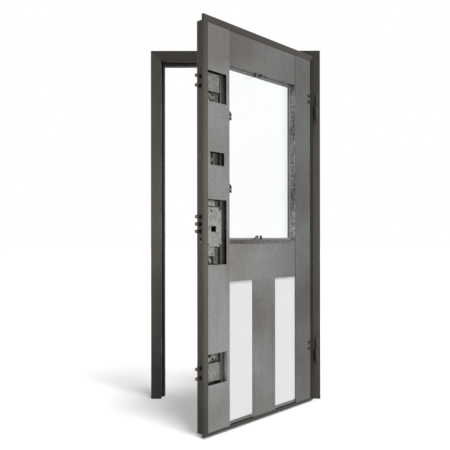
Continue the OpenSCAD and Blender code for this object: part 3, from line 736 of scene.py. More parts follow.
def buildJamb(name, node, place, slots, finish="brown"):
    corners = frameSection(lambda a: 0, lambda a: frameTop - a - jamb["seam"])
    fold = foldLine(corners, jamb["sheet"], jamb["bend"], 1)
    outside, inside = alongFold(fold, 0, fixingDepth), alongFold(fold, frameFace, fixingDepth)
    holes = [circle((outside, z), jamb["fixingRadius"]) for z in fixingHeights]
    holes += [circle((inside, z), jamb["accessRadius"]) for z in fixingHeights]
    holes += [roundRect((alongFold(fold, frameFace, depth), z), width, height, jamb["slotCorner"])
              for depth, z, width, height in slots]
    brownPiece(name, [foldedSheet(fold, jamb["sheet"], holes)], place, "frame", [node], finish)


strikeRuns = zRuns(nodePoints("strike_plates"), 120)
strikeWidth = float(np.ptp(nodePoints("strike_plates")[:, 1]))
strikeDepth = float(nodePoints("strike_plates")[:, 1].min() + strikeWidth / 2)
buildJamb("lockJamb", "lock_jamb", lambda p: onFrame(p + [frameLeft, 0, 0]),
          [(strikeDepth, (low + high) / 2, strikeWidth, high - low) for low, high in strikeRuns])
buildJamb("hingeJamb", "hinge_jamb", lambda p: onFrame(p * [-1, 1, 1]),
          [(jamb["dogSlotDepth"], z, *jamb["dogSlot"]) for z in middles("fixed_dogs")], "brownHinge")
headSection = frameSection(lambda a: a + jamb["seam"], lambda a: -frameLeft - a - jamb["seam"])
headFold = foldLine(headSection, jamb["sheet"], jamb["bend"], 1)
# The head takes the darker copy of the brown paint: painted shade.
brownPiece("frameHead", [foldedSheet(headFold, jamb["sheet"])],
           lambda p: onFrame(p[:, [2, 1, 0]] * [1, 1, -1] + [frameLeft, 0, frameTop]), "frame", ["frame_head"],
           "brownHeadPaintedShade")

strike = {"sheet": 3, "gap": 0.4, "corner": 3, "boltHole": 10.5, "slot": (12, 100, 5.9), "screwInset": 8,
          "screw": (4.5, 0.4)}


# One strike plate for each run: a plate with the holes that lie in it, and a screw at each end.
def buildStrikes():
    shells = []
    for low, high in strikeRuns:
        middle = (low + high) / 2
        holes = [circle((strikeDepth, z), strike["boltHole"], 32) for z in boltHeights if low < z < high]
        if not holes:
            holes = [roundRect((strikeDepth, middle), *strike["slot"])]
        outline = roundRect((strikeDepth, middle), strikeWidth - 2 * strike["gap"], high - low - 2 * strike["gap"],
                            strike["corner"])
        points, faces = flatPlate(outline, holes, -strike["sheet"], -0.1)
        shells.append((points[:, [2, 0, 1]], faces))
        shells += [screw((-strike["screw"][1], strikeDepth, z), bodyAxis, *strike["screw"])
                   for z in (low + strike["screwInset"], high - strike["screwInset"])]
    makePiece("strikePlates", shells, lambda p: onFrame(p + [frameLeft + frameFace, 0, 0]), "frame",
              finishes["bright"], ["strike_plates"])


buildStrikes()

# Seal: a flange on the stop and a bulb that stands off it, carried up, across and down.
seal = {"width": 11, "flange": 1.6, "bulbAt": (5.5, 2.4), "bulbRadii": (3.9, 3.5), "bulbWrap": 0.2}
bulbTurn = np.linspace(-seal["bulbWrap"], math.pi + seal["bulbWrap"], 11)
sealProfile = np.concatenate([
    [(0.3, stopDepth), (seal["width"] - 0.3, stopDepth), (seal["width"], stopDepth - 0.5 * seal["flange"]),
     (seal["width"] - 0.8, stopDepth - seal["flange"])],
    np.column_stack([seal["bulbAt"][0] + seal["bulbRadii"][0] * np.cos(bulbTurn),
                     stopDepth - seal["bulbAt"][1] - seal["bulbRadii"][1] * np.sin(bulbTurn)]),
    [(0.8, stopDepth - seal["flange"]), (0, stopDepth - 0.5 * seal["flange"])]])
makePiece("frameSeal", [carriedRound(sealProfile, (sealPoints[:, 0].min(), 0),
                                     (sealPoints[:, 0].max(), sealPoints[:, 2].max()), "open")],
          onFrame, "frame", finishes["rubber"], ["frame_seal"])

hingePart = {  # barrelNear and barrelEnd: how far in from the radius, and how far from the joint or the end
    "barrel": 9, "half": 76, "gap": 1, "foot": 4, "washer": 7.6, "washerReach": (-1, 0.9), "rise": 31, "web": 4,
    "barrelNear": ((0.7, 1), (0, 1.8), (0, 3.4), (0.5, 4), (0.5, 4.6), (0, 5.2)),
    "barrelEnd": ((0, 2.6), (0.4, 1.4), (1.4, 0.4), (3.4, 0)),
    "screw": (2.4, 1.2), "screwAt": 6.2, "screwDrops": (12, 62),
}
upAxis = (0, 0, 1)


# Half of a hinge's barrel: grooved near the joint and capped at its end, going up or down from the joint.
def barrelRows(sign):
    rows = [(hingePart["barrel"] - inset, along) for inset, along in hingePart["barrelNear"]]
    rows += [(hingePart["barrel"] - inset, hingePart["half"] - along) for inset, along in hingePart["barrelEnd"]]
    return [(radius, sign * along) for radius, along in rows[::sign]]


# The frame's half of a hinge: a capped barrel with a washer on it, a web and a screwed foot.
def buildHingeBase(name, node, wing):
    z = leafBox(wing)[0][2] - hingePart["gap"]
    half, r, rise, web = (hingePart[key] for key in ("half", "barrel", "rise", "web"))
    washer = [(hingePart["washer"], along) for along in hingePart["washerReach"]]
    footFace = rise - hingePart["foot"]
    foot = roundBlock((-r, z - half, footFace), (r, z - hingePart["gap"], rise), 1.2, 3)
    shells = [turned(barrelRows(-1), (0, 0, z), upAxis, 32), turned(washer, (0, 0, z), upAxis, 32),
              roundBlock((-web, web, z - half + 6), (web, rise - 2, z - 6), 1.2), (foot[0][:, [0, 2, 1]], foot[1])]
    shells += [screw((side * hingePart["screwAt"], footFace, z - half + drop), inwardAxis, *hingePart["screw"])
               for side in (-1, 1) for drop in hingePart["screwDrops"]]
    brownPiece(name, shells, lambda p: onFrame(p + [*hingeAt, 0]), "frame", [node], "brownHinge")
    return z


hingeHeights = [buildHingeBase("upperHingeBase", "upper_hinge_base", "upper_hinge_wing"),
                buildHingeBase("lowerHingeBase", "lower_hinge_base", "lower_hinge_wing")]
print("frame built")

trim = {"sheet": trimSheet, "bend": 1.4, "seam": 0.2, "boltHole": 11.5, "flange": 16,
        "edgeHoles": ((-75, 6.5), (193, 3), (-450, 3), (-1006, 3)), "pinHole": 5.5, "pinHeight": 1418.75,
        "wing": (6, 11, 8, 76), "dogHole": 8}


# Section of a side trim: flange, lip, wall and return, with the heights where its mitres end.
def sideTrimCorners():
    gap = trim["seam"]
    inner, lip = (fieldBottom + gap, fieldTop - gap), (lipBottom + gap, lipTop - gap)
    wall, back = (bodyBottom + gap, bodyTop - gap), (bodyBottom + outerReturn + gap, bodyTop - outerReturn - gap)
    return [(fieldLeft, trim["flange"], *inner), (fieldLeft, 0, *inner), (0, 0, *lip), (0, lipDepth, *lip),
            (bodyLeft, lipDepth, *wall), (bodyLeft, leafDepth, *wall), (bodyLeft + outerReturn, leafDepth, *back)]


def buildSideTrim(name, node, place, holesOf, finish):
    fold = foldLine(sideTrimCorners(), trim["sheet"], trim["bend"], -1)
    brownPiece(name, [foldedSheet(fold, trim["sheet"], holesOf(fold))], place, "leaf", [node], finish)


def lockEdgeHoles(fold):
    wall = alongFold(fold, bodyLeft, boltDepth)
    middle = boltGroups["main_bolts"][1]
    return ([circle((wall, z), trim["boltHole"], 32) for z in boltHeights]
            + [circle((wall, middle + rise), radius) for rise, radius in trim["edgeHoles"]]
            + [circle((wall, trim["pinHeight"]), trim["pinHole"])])


def hingeEdgeHoles(fold):
    low, high, start, stop = trim["wing"]
    width, height = high - low + 1, stop - start + 1
    return ([roundRect((alongFold(fold, at, (low + high) / 2), z + (start + stop) / 2), width, height, 1.5)
             for z in hingeHeights for at in (0, fieldLeft)]
            + [circle((alongFold(fold, bodyLeft, boltDepth), z), trim["dogHole"]) for z in middles("fixed_dogs")])


buildSideTrim("lockEdgeTrim", "lock_edge_trim", onLeaf, lockEdgeHoles, "brownTrimPaintedLightAndShade")
# The hinge side's trim takes the very dark copy of the brown paint: painted shade on its lip.
buildSideTrim("hingeEdgeTrim", "hinge_edge_trim", lambda p: onLeaf(p * [-1, 1, 1] + [lipWidth, 0, 0]), hingeEdgeHoles,
              "brownPaintedShade")


# A trim across the top or the bottom: the same section turned, mitred to the side trims.
def buildCrossTrim(name, node, field, lip, wall, side, bend):
    step = outerReturn if wall < field else -outerReturn
    rows = [(field, trim["flange"], fieldLeft), (field, 0, fieldLeft), (lip, 0, 0), (lip, lipDepth, 0),
            (wall, lipDepth, bodyLeft), (wall, leafDepth, bodyLeft), (wall + step, leafDepth, bodyLeft + outerReturn)]
    corners = [(z, w, s, lipWidth - s) for z, w, s in rows]
    fold = foldLine(corners, trim["sheet"], bend, side)
    brownPiece(name, [foldedSheet(fold, trim["sheet"])], axesOf(onLeaf, [2, 1, 0]), "leaf", [node], "brownTrimPaintedLightAndShade")


buildCrossTrim("topEdgeTrim", "top_edge_trim", fieldTop, lipTop, bodyTop, 1, trim["bend"])
buildCrossTrim("bottomEdgeTrim", "bottom_edge_trim", fieldBottom, lipBottom, bodyBottom, -1, 0.8)

outer = {"low": sheetLow[1], "high": sheetHigh[1], "rivet": 3.4, "rivetRise": 1.1, "inset": 34,
         "windowInset": 16, "gap": 0.4}


# The outer sheet with its window, and a round of rivets inside its edge and round the window.
def buildOuterSheet():
    outline = roundRect((np.array([sheetLow[0] + sheetHigh[0], sheetLow[2] + sheetHigh[2]]) / 2),
                        *(sheetHigh - sheetLow)[[0, 2]] - outer["gap"], 3)
    window = openingLoop(windowLeft, windowRight, windowBottom, windowTop, 2)
    sheet = flatPlate(outline, [window], outer["low"], outer["high"])
    inset = outer["inset"]
    rise = np.linspace(sheetLow[2] + inset, sheetHigh[2] - inset, 15)
    run = np.linspace(sheetLow[0] + inset, sheetHigh[0] - inset, 7)[1:-1]
    spots = [(s, z) for z in rise for s in (sheetLow[0] + inset, sheetHigh[0] - inset)]
    spots += [(s, z) for s in run for z in (rise[0], rise[-1])]
    around = np.linspace(windowLeft - outer["windowInset"], windowRight + outer["windowInset"], 6)
    beside = np.linspace(windowBottom - outer["windowInset"], windowTop + outer["windowInset"], 8)
    spots += [(s, z) for s in around for z in (beside[0], beside[-1])]
    spots += [(s, z) for z in beside[1:-1] for s in (around[0], around[-1])]
    rivets = [turned([(outer["rivet"], 0), (0.9 * outer["rivet"], 0.5 * outer["rivetRise"]),
                      (0.5 * outer["rivet"], 0.9 * outer["rivetRise"]), (0.1, outer["rivetRise"])],
                     (s, outer["high"], z), (0, 1, 0), 12) for s, z in spots]
    zincPiece("outerSheet", [(sheet[0][:, [0, 2, 1]], sheet[1])], ["outer_sheet"], "outer")
    zincPiece("outerRivets", rivets, finish="bright")


buildOuterSheet()

sheet = {"thick": 1.5, "bend": 1.6, "gap": 0.4, "notchCorner": 2.5, "corner": 0.8}
stripDepth = stripLow[1]
lockMiddle = boltGroups["main_bolts"][1]
upperMiddle, lowerMiddle = (float(np.mean(boltGroups[name])) for name in ("upper_bolts", "lower_bolts"))
cutouts = {  # left and right edge, bottom and top of each opening in the lock strip
    "lock": (20, windowLeft - 23, lockMiddle - 207, lockMiddle + 126),
    "upper": (20, windowLeft - 23, upperMiddle - 102, upperMiddle + 54),
    "lower": (20, windowLeft - 23, lowerMiddle - 60, lowerMiddle + 96),
    "limiter": (fieldLeft + 16, windowLeft - 40, 1377.25, 1444.25),
}


# A plate in the plane of the leaf at a depth, with holes.
def leafPlate(outline, holes, depth, thick):
    points, faces = flatPlate(outline, holes, depth, depth + thick)
    return points[:, [0, 2, 1]], faces


# A flat strip between two edges with its openings, its thickness going outwards.
def flatStrip(left, right, bottom, top, depth, loops=()):
    return leafPlate(openingLoop(left, right, bottom, top, sheet["corner"], 2), loops, depth, sheet["thick"])


# The lock strip's edge, stepped in with round corners at each notch that is open to the lip.
def stripOutline(left, right, notches):
    rows = [(right, fieldBottom), (right, fieldTop), (left, fieldTop)]
    for _, inner, bottom, top in sorted(notches, key=lambda notch: -notch[2]):
        turnIn = roundRect((inner - 10, (bottom + top) / 2), 20, top - bottom, sheet["notchCorner"])
        corner = turnIn[turnIn[:, 0] > inner - 10]
        upper = corner[corner[:, 1] > (bottom + top) / 2]
        lower = corner[corner[:, 1] < (bottom + top) / 2]
        rows += [(left, top), *upper[::-1], *lower[::-1], (left, bottom)]
    return np.array(rows + [(left, fieldBottom)])


stripScrew = {"size": (2.6, 0.8), "end": 40, "windowInset": 11, "windowHeights": (560, 830, 1260, 1620, 1900),
              "lipInset": 14, "lipHeights": (600, 1290, 1560)}


def buildLockStrip():
    outline = stripOutline(fieldLeft + sheet["gap"], windowLeft, [cutouts[name] for name in ("upper", "lock", "lower")])
    plate = leafPlate(outline, [openingLoop(*cutouts["limiter"])], stripDepth, sheet["thick"])
    zincPiece("lockStrip", [plate], ["lock_strip"], "lockStrip")
    low, high = fieldBottom + stripScrew["end"], fieldTop - stripScrew["end"]
    spots = [(windowLeft - stripScrew["windowInset"], z) for z in (low, *stripScrew["windowHeights"], high)]
    spots += [(fieldLeft + stripScrew["lipInset"], z) for z in (low, *stripScrew["lipHeights"], high)]
    zincPiece("lockStripScrews", [screw((s, stripDepth, z), inwardAxis, *stripScrew["size"]) for s, z in spots],
              finish="lockStrip")


buildLockStrip()

wingBolt = {"s": 912, "rises": (20, 57), "hole": 4.4, "head": 8, "headHeight": 3.8, "washer": 11}
zincPiece("hingeStrip", [flatStrip(windowRight, lipWidth - fieldLeft - sheet["gap"], fieldBottom, fieldTop, stripDepth,
                                   [circle((wingBolt["s"], z + rise), wingBolt["hole"])
                                    for z in hingeHeights for rise in wingBolt["rises"]])],
          ["hinge_strip"], "hingeStrip")

panelDepth = leafBox("top_panel")[0][1]
tuck = windowLeft - leafBox("top_panel")[0][0]
headClipAt = float(np.mean(leafBox("head_clip"), 0)[0])
clipHoles = {"slot": (10, 20, 3), "pitch": 30, "depth": 15, "gap": 58, "near": 4.5, "far": (74, 3)}


# The slots and the round hole beside a clip, at a length along the bent line.
def holesByClip(at):
    slots = [roundRect((at, headClipAt + clipHoles["gap"] + k * clipHoles["pitch"]), *clipHoles["slot"])
             for k in (0, 1)]
    return slots + [circle((at, headClipAt - clipHoles["gap"]), clipHoles["near"])]


# The panel over the window, folded back as the window's head, with slots beside its clip.
def buildTopPanel():
    left, right = windowLeft - tuck, windowRight + tuck
    corners = [(fieldTop - sheet["gap"], panelDepth, left, right), (windowTop, panelDepth, windowLeft, windowRight),
               (windowTop, sheetLow[1], windowLeft, windowRight)]
    fold = foldLine(corners, sheet["thick"], sheet["bend"], -1)
    at = alongFold(fold, windowTop, panelDepth + clipHoles["depth"])
    holes = holesByClip(at) + [circle((at, headClipAt - clipHoles["far"][0]), clipHoles["far"][1])]
    zincPiece("topPanel", [foldedSheet(fold, sheet["thick"], holes)], ["top_panel", "window_head"], "topPanel",
              axesOf(onLeaf, [2, 1, 0]))


def buildSill():
    corners = [(level, depth, windowLeft, windowRight) for level, depth in
               ((leafBox("mid_panel")[1][2] + sheet["gap"], panelDepth), (windowBottom, panelDepth),
                (windowBottom, sheetLow[1]))]
    fold = foldLine(corners, sheet["thick"], sheet["bend"], 1)
    holes = holesByClip(alongFold(fold, windowBottom, panelDepth + clipHoles["depth"]))
    zincPiece("windowSill", [foldedSheet(fold, sheet["thick"], holes)], ["window_sill"], "sill",
              axesOf(onLeaf, [2, 1, 0]))


buildTopPanel()
buildSill()
midLow, midHigh = leafBox("mid_panel")
midStrip = flatStrip(windowLeft - tuck, windowRight + tuck, midLow[2], midHigh[2] - sheet["gap"], panelDepth)
zincPiece("midPanel", [midStrip], ["mid_panel"], "midPanel")

clipMiddles = middles("lock_side_clips", 60)
revealHoles = {"slot": (7, 22, 3), "small": 3.2, "depths": (14, 30), "slotRises": (-56, 56),
               "nearRises": (78, 96, 112), "farRises": (-84, -20, 20, 84)}


# A side of the window: a flange behind the strip, folded into the reveal, with slots and holes by the clips.
def buildReveal(name, node, place):
    corners = [(windowLeft - tuck + 1, panelDepth, windowBottom + 1, windowTop - 1),
               (windowLeft, panelDepth, windowBottom, windowTop), (windowLeft, sheetLow[1], windowBottom, windowTop)]
    fold = foldLine(corners, sheet["thick"], sheet["bend"], 1)
    near, far = (alongFold(fold, windowLeft, panelDepth + depth) for depth in revealHoles["depths"])
    holes = [roundRect((near, z + rise), *revealHoles["slot"]) for z in clipMiddles
             for rise in revealHoles["slotRises"]]
    holes += [circle((at, z + rise), revealHoles["small"], 16)
              for at, rises in ((near - 4, "nearRises"), (far, "farRises"))
              for z in clipMiddles for rise in revealHoles[rises]]
    zincPiece(name, [foldedSheet(fold, sheet["thick"], holes)], [node], "reveal", place)


windowSum = windowLeft + windowRight
buildReveal("lockSideReveal", "lock_side_reveal", onLeaf)
buildReveal("hingeSideReveal", "hinge_side_reveal", lambda p: onLeaf(p * [-1, 1, 1] + [windowSum, 0, 0]))

stiffLow, stiffHigh = leafBox("centre_stiffener")
channelLow, channelHigh = leafBox("bottom_channel")
stiffenerFoot = stiffLow[2] + sheet["gap"]
stiffenerFold = foldLine([(stiffLow[0], sheetLow[1], channelHigh[2], stiffHigh[2]),
                          (stiffLow[0], stiffLow[1], stiffenerFoot, stiffHigh[2]),
                          (stiffHigh[0], stiffLow[1], stiffenerFoot, stiffHigh[2]),
                          (stiffHigh[0], sheetLow[1], channelHigh[2], stiffHigh[2])], sheet["thick"], sheet["bend"], 1)
zincPiece("centreStiffener", [foldedSheet(stiffenerFold, sheet["thick"])], ["centre_stiffener"], "stiffener")
channelFold = foldLine([(channelHigh[2], channelLow[1], channelLow[0], channelHigh[0]),
                        (channelLow[2], channelLow[1], channelLow[0], channelHigh[0]),
                        (channelLow[2], sheetLow[1], channelLow[0], channelHigh[0])], sheet["thick"], sheet["bend"], -1)
zincPiece("bottomChannel", [foldedSheet(channelFold, sheet["thick"])], ["bottom_channel"], "stiffener",
          axesOf(onLeaf, [2, 1, 0]))

board = {"edge": 1.6, "gap": 0.6}
for name, node in (("lockSideInsulation", "lock_side_insulation"), ("hingeSideInsulation", "hinge_side_insulation")):
    low, high = leafBox(node)
    points, faces = roundBlock(low[[0, 2, 1]] + board["gap"], high[[0, 2, 1]] - board["gap"], board["edge"])
    makePiece(name, [(points[:, [0, 2, 1]], faces)], onLeaf, "leaf", finishes["foam"], [node], smooth=5)

upright = {"left": windowLeft - 45, "right": windowLeft - 5, "face": 25, "back": 64, "low": 30, "high": 2090,
           "boltHole": 10.5}
uprightFold = foldLine([(upright[s], upright[depth], upright["low"], upright["high"]) for s, depth in
                        (("left", "back"), ("left", "face"), ("right", "face"), ("right", "back"))],
                       sheet["thick"], sheet["bend"], 1)
uprightHoles = [circle((alongFold(uprightFold, s, boltDepth), z), upright["boltHole"], 32)
                for s in (upright["left"], upright["right"]) for z in boltHeights]
zincPiece("lockSideUpright", [foldedSheet(uprightFold, sheet["thick"], uprightHoles)], finish="inside")
print("leaf sheets built")

glassLow, glassHigh = leafBox("glass_pane")
pane = roundBlock(glassLow[[0, 2, 1]], glassHigh[[0, 2, 1]], 0.8)
makePiece("glassPane", [(pane[0][:, [0, 2, 1]], pane[1])], onLeaf, "leaf", finishes["glass"],
          ["glass_pane"], smooth=5)

gasketLow, gasketHigh = leafBox("glazing_gasket")
g0, g1 = gasketLow[1], gasketHigh[1]
gasketLip = ((0, 0), (8, 0), (8.8, 0.6), (9, 1.6), (8.4, 2.9), (3, 3))  # inwards, and off the gasket's face
gasketProfile = [(a, g0 + b) for a, b in gasketLip] + [(a, g1 - b) for a, b in gasketLip[::-1]]
windowCorners = (windowLeft, windowBottom), (windowRight, windowTop)
makePiece("glazingGasket", [carriedRound(gasketProfile, *windowCorners)], onLeaf, "leaf",
          finishes["gasket"], ["glazing_gasket"])
beadLow, beadHigh = leafBox("glazing_bead")
beadProfile = [(a, beadLow[1] + b) for a, b in ((0, 0), (8.4, 0), (9, 0.6), (9, 1.6), (8.4, 2.4))]
beadProfile += [(a, beadHigh[1] - b) for a, b in ((2.4, 0.3), (1.6, 0), (0, 0))]
zincPiece("glazingBead", [carriedRound(beadProfile, *windowCorners)], ["glazing_bead"], "outer")

clip = {"foot": 37, "bridge": 21.5, "bridgeEnd": 12, "slope": 31, "sheet": 2, "low": 6.4, "high": 21.6, "bend": 1.2,
        "holes": ((-5, 3.4, 20), (-30, 2, 16)), "screw": (3.2, 1.6), "screwsAt": (-30.5, 33.5), "post": (3.2, 2.2)}


# A clip folded from strip: foot, upright, bridge, slope and foot again. Rows are (off the reveal, along
# it). A post stands under the bridge and a screw in each foot.
def clipShells(rise):
    top = clip["sheet"]
    spots = [(top, -clip["foot"]), (top, -clip["bridge"] - top), (rise, -clip["bridge"] - top),
             (rise, clip["bridgeEnd"]), (top, clip["slope"] - top), (top, clip["foot"])]
    fold = foldLine([(a, b, clip["low"], clip["high"]) for a, b in spots], clip["sheet"], clip["bend"], 1)
    middle = (clip["low"] + clip["high"]) / 2
    holes = [circle((alongFold(fold, off, along), middle), radius, count)
             for off, (along, radius, count) in zip((rise, top), clip["holes"])]
    wide, narrow = clip["post"]
    return ([foldedSheet(fold, clip["sheet"], holes)]
            + [screw((top, along, middle), bodyAxis, *clip["screw"]) for along in clip["screwsAt"]]
            + [turned([(wide, 0), (wide, rise - 3), (narrow, rise - 2.6)], (1, 3, middle), bodyAxis, 16)])


clipRise = float(leafBox("lock_side_clips")[1][0] - windowLeft)
clipBits = clipShells(clipRise)


def buildClips(name, node, placers):
    shells = [(placer(points), faces) for placer in placers for points, faces in clipBits]
    brightPiece(name, shells, [node], "clip")


buildClips("lockSideClips", "lock_side_clips",
           [lambda p, z=z: np.column_stack([windowLeft + p[:, 0], p[:, 2], z + p[:, 1]]) for z in clipMiddles])
buildClips("hingeSideClips", "hinge_side_clips",
           [lambda p, z=z: np.column_stack([windowRight - p[:, 0], p[:, 2], z + p[:, 1]]) for z in clipMiddles])
buildClips("headClip", "head_clip",
           [lambda p: np.column_stack([headClipAt + p[:, 1], p[:, 2], windowTop - p[:, 0]])])
buildClips("sillClip", "sill_clip",
           [lambda p: np.column_stack([headClipAt - p[:, 1], p[:, 2], windowBottom + p[:, 0]])])
print("window built")

case = {"sheet": 1.5, "bend": 1, "left": 31, "rod": 6, "rodAt": (92, 26), "boltHole": 10.5}


# A sheet-metal box open to the room side: three folded walls, and a top and bottom with a hole for a rod.
def boxShells(left, right, near, far, bottom, top, holed=(True, True)):
    walls = ((left, near), (left, far), (right, far), (right, near))
    fold = foldLine([(s, depth, bottom, top) for s, depth in walls], case["sheet"], case["bend"], 1)
    holes = [circle((alongFold(fold, s, boltDepth), z), case["boltHole"], 32)
             for s in (left, right) for z in boltHeights if bottom < z < top]
    shells = [foldedSheet(fold, case["sheet"], holes)]
    outline = openingLoop(left + case["sheet"], right - case["sheet"], near + 1, far - 1, 1, 2)
    for level, hole in ((bottom, holed[0]), (top - case["sheet"], holed[1])):
        loops = [circle(case["rodAt"], case["rod"])] if hole else []
        shells.append(flatPlate(outline, loops, level, level + case["sheet"]))
    return shells


caseLow, caseHigh = leafBox("lock_case")
coverLow, coverHigh = leafBox("lock_cover")
zincPiece("lockCase", boxShells(case["left"], caseHigh[0], coverHigh[1], caseHigh[1], caseLow[2], caseHigh[2]),
          ["lock_case"], "inside")

cover = {  # heights are from the middle main bolt
    "square": (66, 102, -39, -9), "screws": ((68, 68), (128, 76), (129, -103), (44, -103)), "screw": (5.6, 2),
    "smallHoles": ((50, -24), (118, 44), (118, -66), (60, 30), (96, -86)), "small": 2.6, "notch": (11, 7.7),
    "thick": 1.5,
}


# The lock's cover: a plate with cut corners, a square opening, a round of small holes and dark screws.
def buildCover():
    left, right, bottom, top = case["left"], coverHigh[0], coverLow[2], coverHigh[2]
    across, along = cover["notch"]
    outline = [(left, bottom), (right - across, bottom), (right - across, bottom + along), (right, bottom + along),
               (right, top - along), (right - across, top - along), (right - across, top), (left, top)]
    s0, s1, z0, z1 = cover["square"]
    holes = [openingLoop(s0, s1, lockMiddle + z0, lockMiddle + z1, 1)]
    holes += [circle((s, lockMiddle + z), cover["small"], 16) for s, z in cover["smallHoles"]]
    brightPiece("lockCover", [leafPlate(outline, holes, coverLow[1], cover["thick"])], ["lock_cover"])
    heads = [screw((s, coverLow[1], lockMiddle + z), inwardAxis, *cover["screw"]) for s, z in cover["screws"]]
    brightPiece("lockCoverScrews", heads, finish="hole")


buildCover()

fittings = {  # plates: left, right, bottom, top; holes: s, z, radius, points; screws: s, depth, z, radius
    "bracket": (40, 92, 915, 957), "bracketDepth": 18.5, "bracketHoles": ((49, 924, 2.6, 16), (83, 943, 3.4, 16)),
    "guide": (36, 84, 1170, 1196), "guideDepth": 20, "guideHoles": ((46, 1182, 3.4, 16), (74, 1184, 3.4, 16)),
    "collars": ((1167.5, ((8, 0), (8.6, 1), (8.6, 20), (7.6, 22), (6.2, 22.4))),
                (944, ((7.4, 0), (7.6, 1), (7.6, 12), (6.2, 12.6)))),
    "lever": (12, 46, 5.9), "leverAt": (62, 890), "leverTilt": 24, "leverDepth": 21, "leverHole": 2.4,
    "screws": ((104, 30, 937, 5.6), (56, 18.5, 948, 3.4), (54, 21, 906, 4), (70, 21, 876, 4.4), (46, 20, 1190, 3.6),
               (78, 18.5, 926, 4), (112, 32, 1184, 4.6), (100, 32, 900, 5)), "screwHeight": 2.4,
    "backs": (((33, 140, 872, 955), (81.3, 925.7, 5)), ((33, 140, 1169, 1199), (108, 1186, 4))), "backDepth": 36,
    "thin": 1.5, "thick": 2,
}


# A bar with round ends, turned by an angle in degrees and moved to a centre.
def tiltedBar(size, angle, centre):
    angle = math.radians(angle)
    turn = np.array([[math.cos(angle), math.sin(angle)], [-math.sin(angle), math.cos(angle)]])
    return roundRect((0, 0), *size) @ turn + centre


# Screw heads on plates that face the room, from rows of s, depth, z and radius.
def darkScrews(rows, height):
    return [screw((s, depth, z), inwardAxis, radius, height) for s, depth, z, radius in rows]


# What stands above and below the lock in its opening: a guide, collars round the rods, a bracket, a
# lever and the plates behind them.
def buildLockFittings():
    shells = [leafPlate(openingLoop(*fittings[plate], 3),
                        [circle((s, z), radius, count) for s, z, radius, count in fittings[plate + "Holes"]],
                        fittings[plate + "Depth"], fittings["thin"]) for plate in ("bracket", "guide")]
    shells += [turned(rows, (*case["rodAt"], z), upAxis) for z, rows in fittings["collars"]]
    lever = tiltedBar(fittings["lever"], fittings["leverTilt"], fittings["leverAt"])
    shells.append(leafPlate(lever, [circle(fittings["leverAt"], fittings["leverHole"], 12)], fittings["leverDepth"],
                            fittings["thick"]))
    brightPiece("lockFittings", shells)
    brightPiece("lockFittingScrews", darkScrews(fittings["screws"], fittings["screwHeight"]), finish="hole")
    backs = [leafPlate(openingLoop(*edges), [circle((s, z), radius)], fittings["backDepth"], fittings["thin"])
             for edges, (s, z, radius) in fittings["backs"]]
    brightPiece("lockBackPlates", backs, finish="dull")


buildLockFittings()

deviator = {  # s and depth as they stand; heights are from the middle of the bolts, or of the linkage
    "plate": (31, 128), "reach": 45.5, "depth": 15.5, "back": 58, "thin": 1.5, "plateHoles": ((116, 14), (116, -14)),
    "screws": ((44, -36), (114, -36), (44, 36), (114, 36)), "screw": (3, 1.6), "linkage": 58,
    "backPlate": (32, 140, 36, 2), "backHoles": ((50, -14, 5), (98, 12, 5), (70, 0, 4)),
    "crank": (11, 40, 5.4), "cranks": ((52, 35), (72, -40)), "crankDepth": (24, 2.5), "crankHole": 2.2,
    "collar": ((7.6, 0), (8, 0.8), (8, 15), (7, 16)), "guide": (36, 60, 6, 20), "guideDepth": (21, 1.5),
    "pivots": ((52, 24, -16, 5), (76, 24, 15, 5), (40, 36, 18, 5), (104, 36, -18, 5), (60, 24, 6, 4), (84, 24, -8, 4),
               (112, 36, 12, 4.4)), "pivotHeight": 2.2,
}


# One deviator: a box round its bolts with a bright plate, and beside it the linkage that turns the
# rod's travel into the bolts': a back plate, two cranks, their pivots and a guide for the rod.
def buildDeviator(name, node, middle, side):
    left, right = deviator["plate"]
    low, high = middle - deviator["reach"], middle + deviator["reach"]
    depth, thin, linkage = deviator["depth"], deviator["thin"], deviator["linkage"]
    body = boxShells(left, right, depth + thin, deviator["back"], low, high, (side < 0, side > 0))
    plate = leafPlate(openingLoop(left, right, low, high, 4),
                      [circle((s, middle + rise), 2.4, 16) for s, rise in deviator["plateHoles"]], depth, thin)
    brightPiece(name, [plate] + body, [node], "plate")
    start = low - linkage if side < 0 else high
    centre = start + linkage / 2
    near, far, *backPlace = deviator["backPlate"]
    back = leafPlate(openingLoop(near, far, start + 2, start + linkage - 2),
                     [circle((s, centre + rise), radius) for s, rise, radius in deviator["backHoles"]], *backPlace)
    pivot = centre - 2 * side
    cranks = [leafPlate(tiltedBar(deviator["crank"], turn * side, (s, pivot)),
                        [circle((s, pivot), deviator["crankHole"], 12)], *deviator["crankDepth"])
              for s, turn in deviator["cranks"]]
    cranks.append(turned(deviator["collar"], (*case["rodAt"], centre - 8), upAxis))
    near, far, bottom, top = deviator["guide"]
    cranks.append(leafPlate(openingLoop(near, far, start + bottom, start + top),
                            [circle(((near + far) / 2, start + (bottom + top) / 2), 3)], *deviator["guideDepth"]))
    dark = darkScrews([(s, at, centre + rise, radius) for s, at, rise, radius in deviator["pivots"]],
                      deviator["pivotHeight"])
    dark += [screw((s, depth, middle + rise), inwardAxis, *deviator["screw"]) for s, rise in deviator["screws"]]
    brightPiece(name + "Cranks", cranks)
    brightPiece(name + "Linkage", [back], finish="dull")
    brightPiece(name + "Pivots", dark, finish="hole")


buildDeviator("upperDeviator", "upper_deviator", upperMiddle, -1)
buildDeviator("lowerDeviator", "lower_deviator", lowerMiddle, 1)

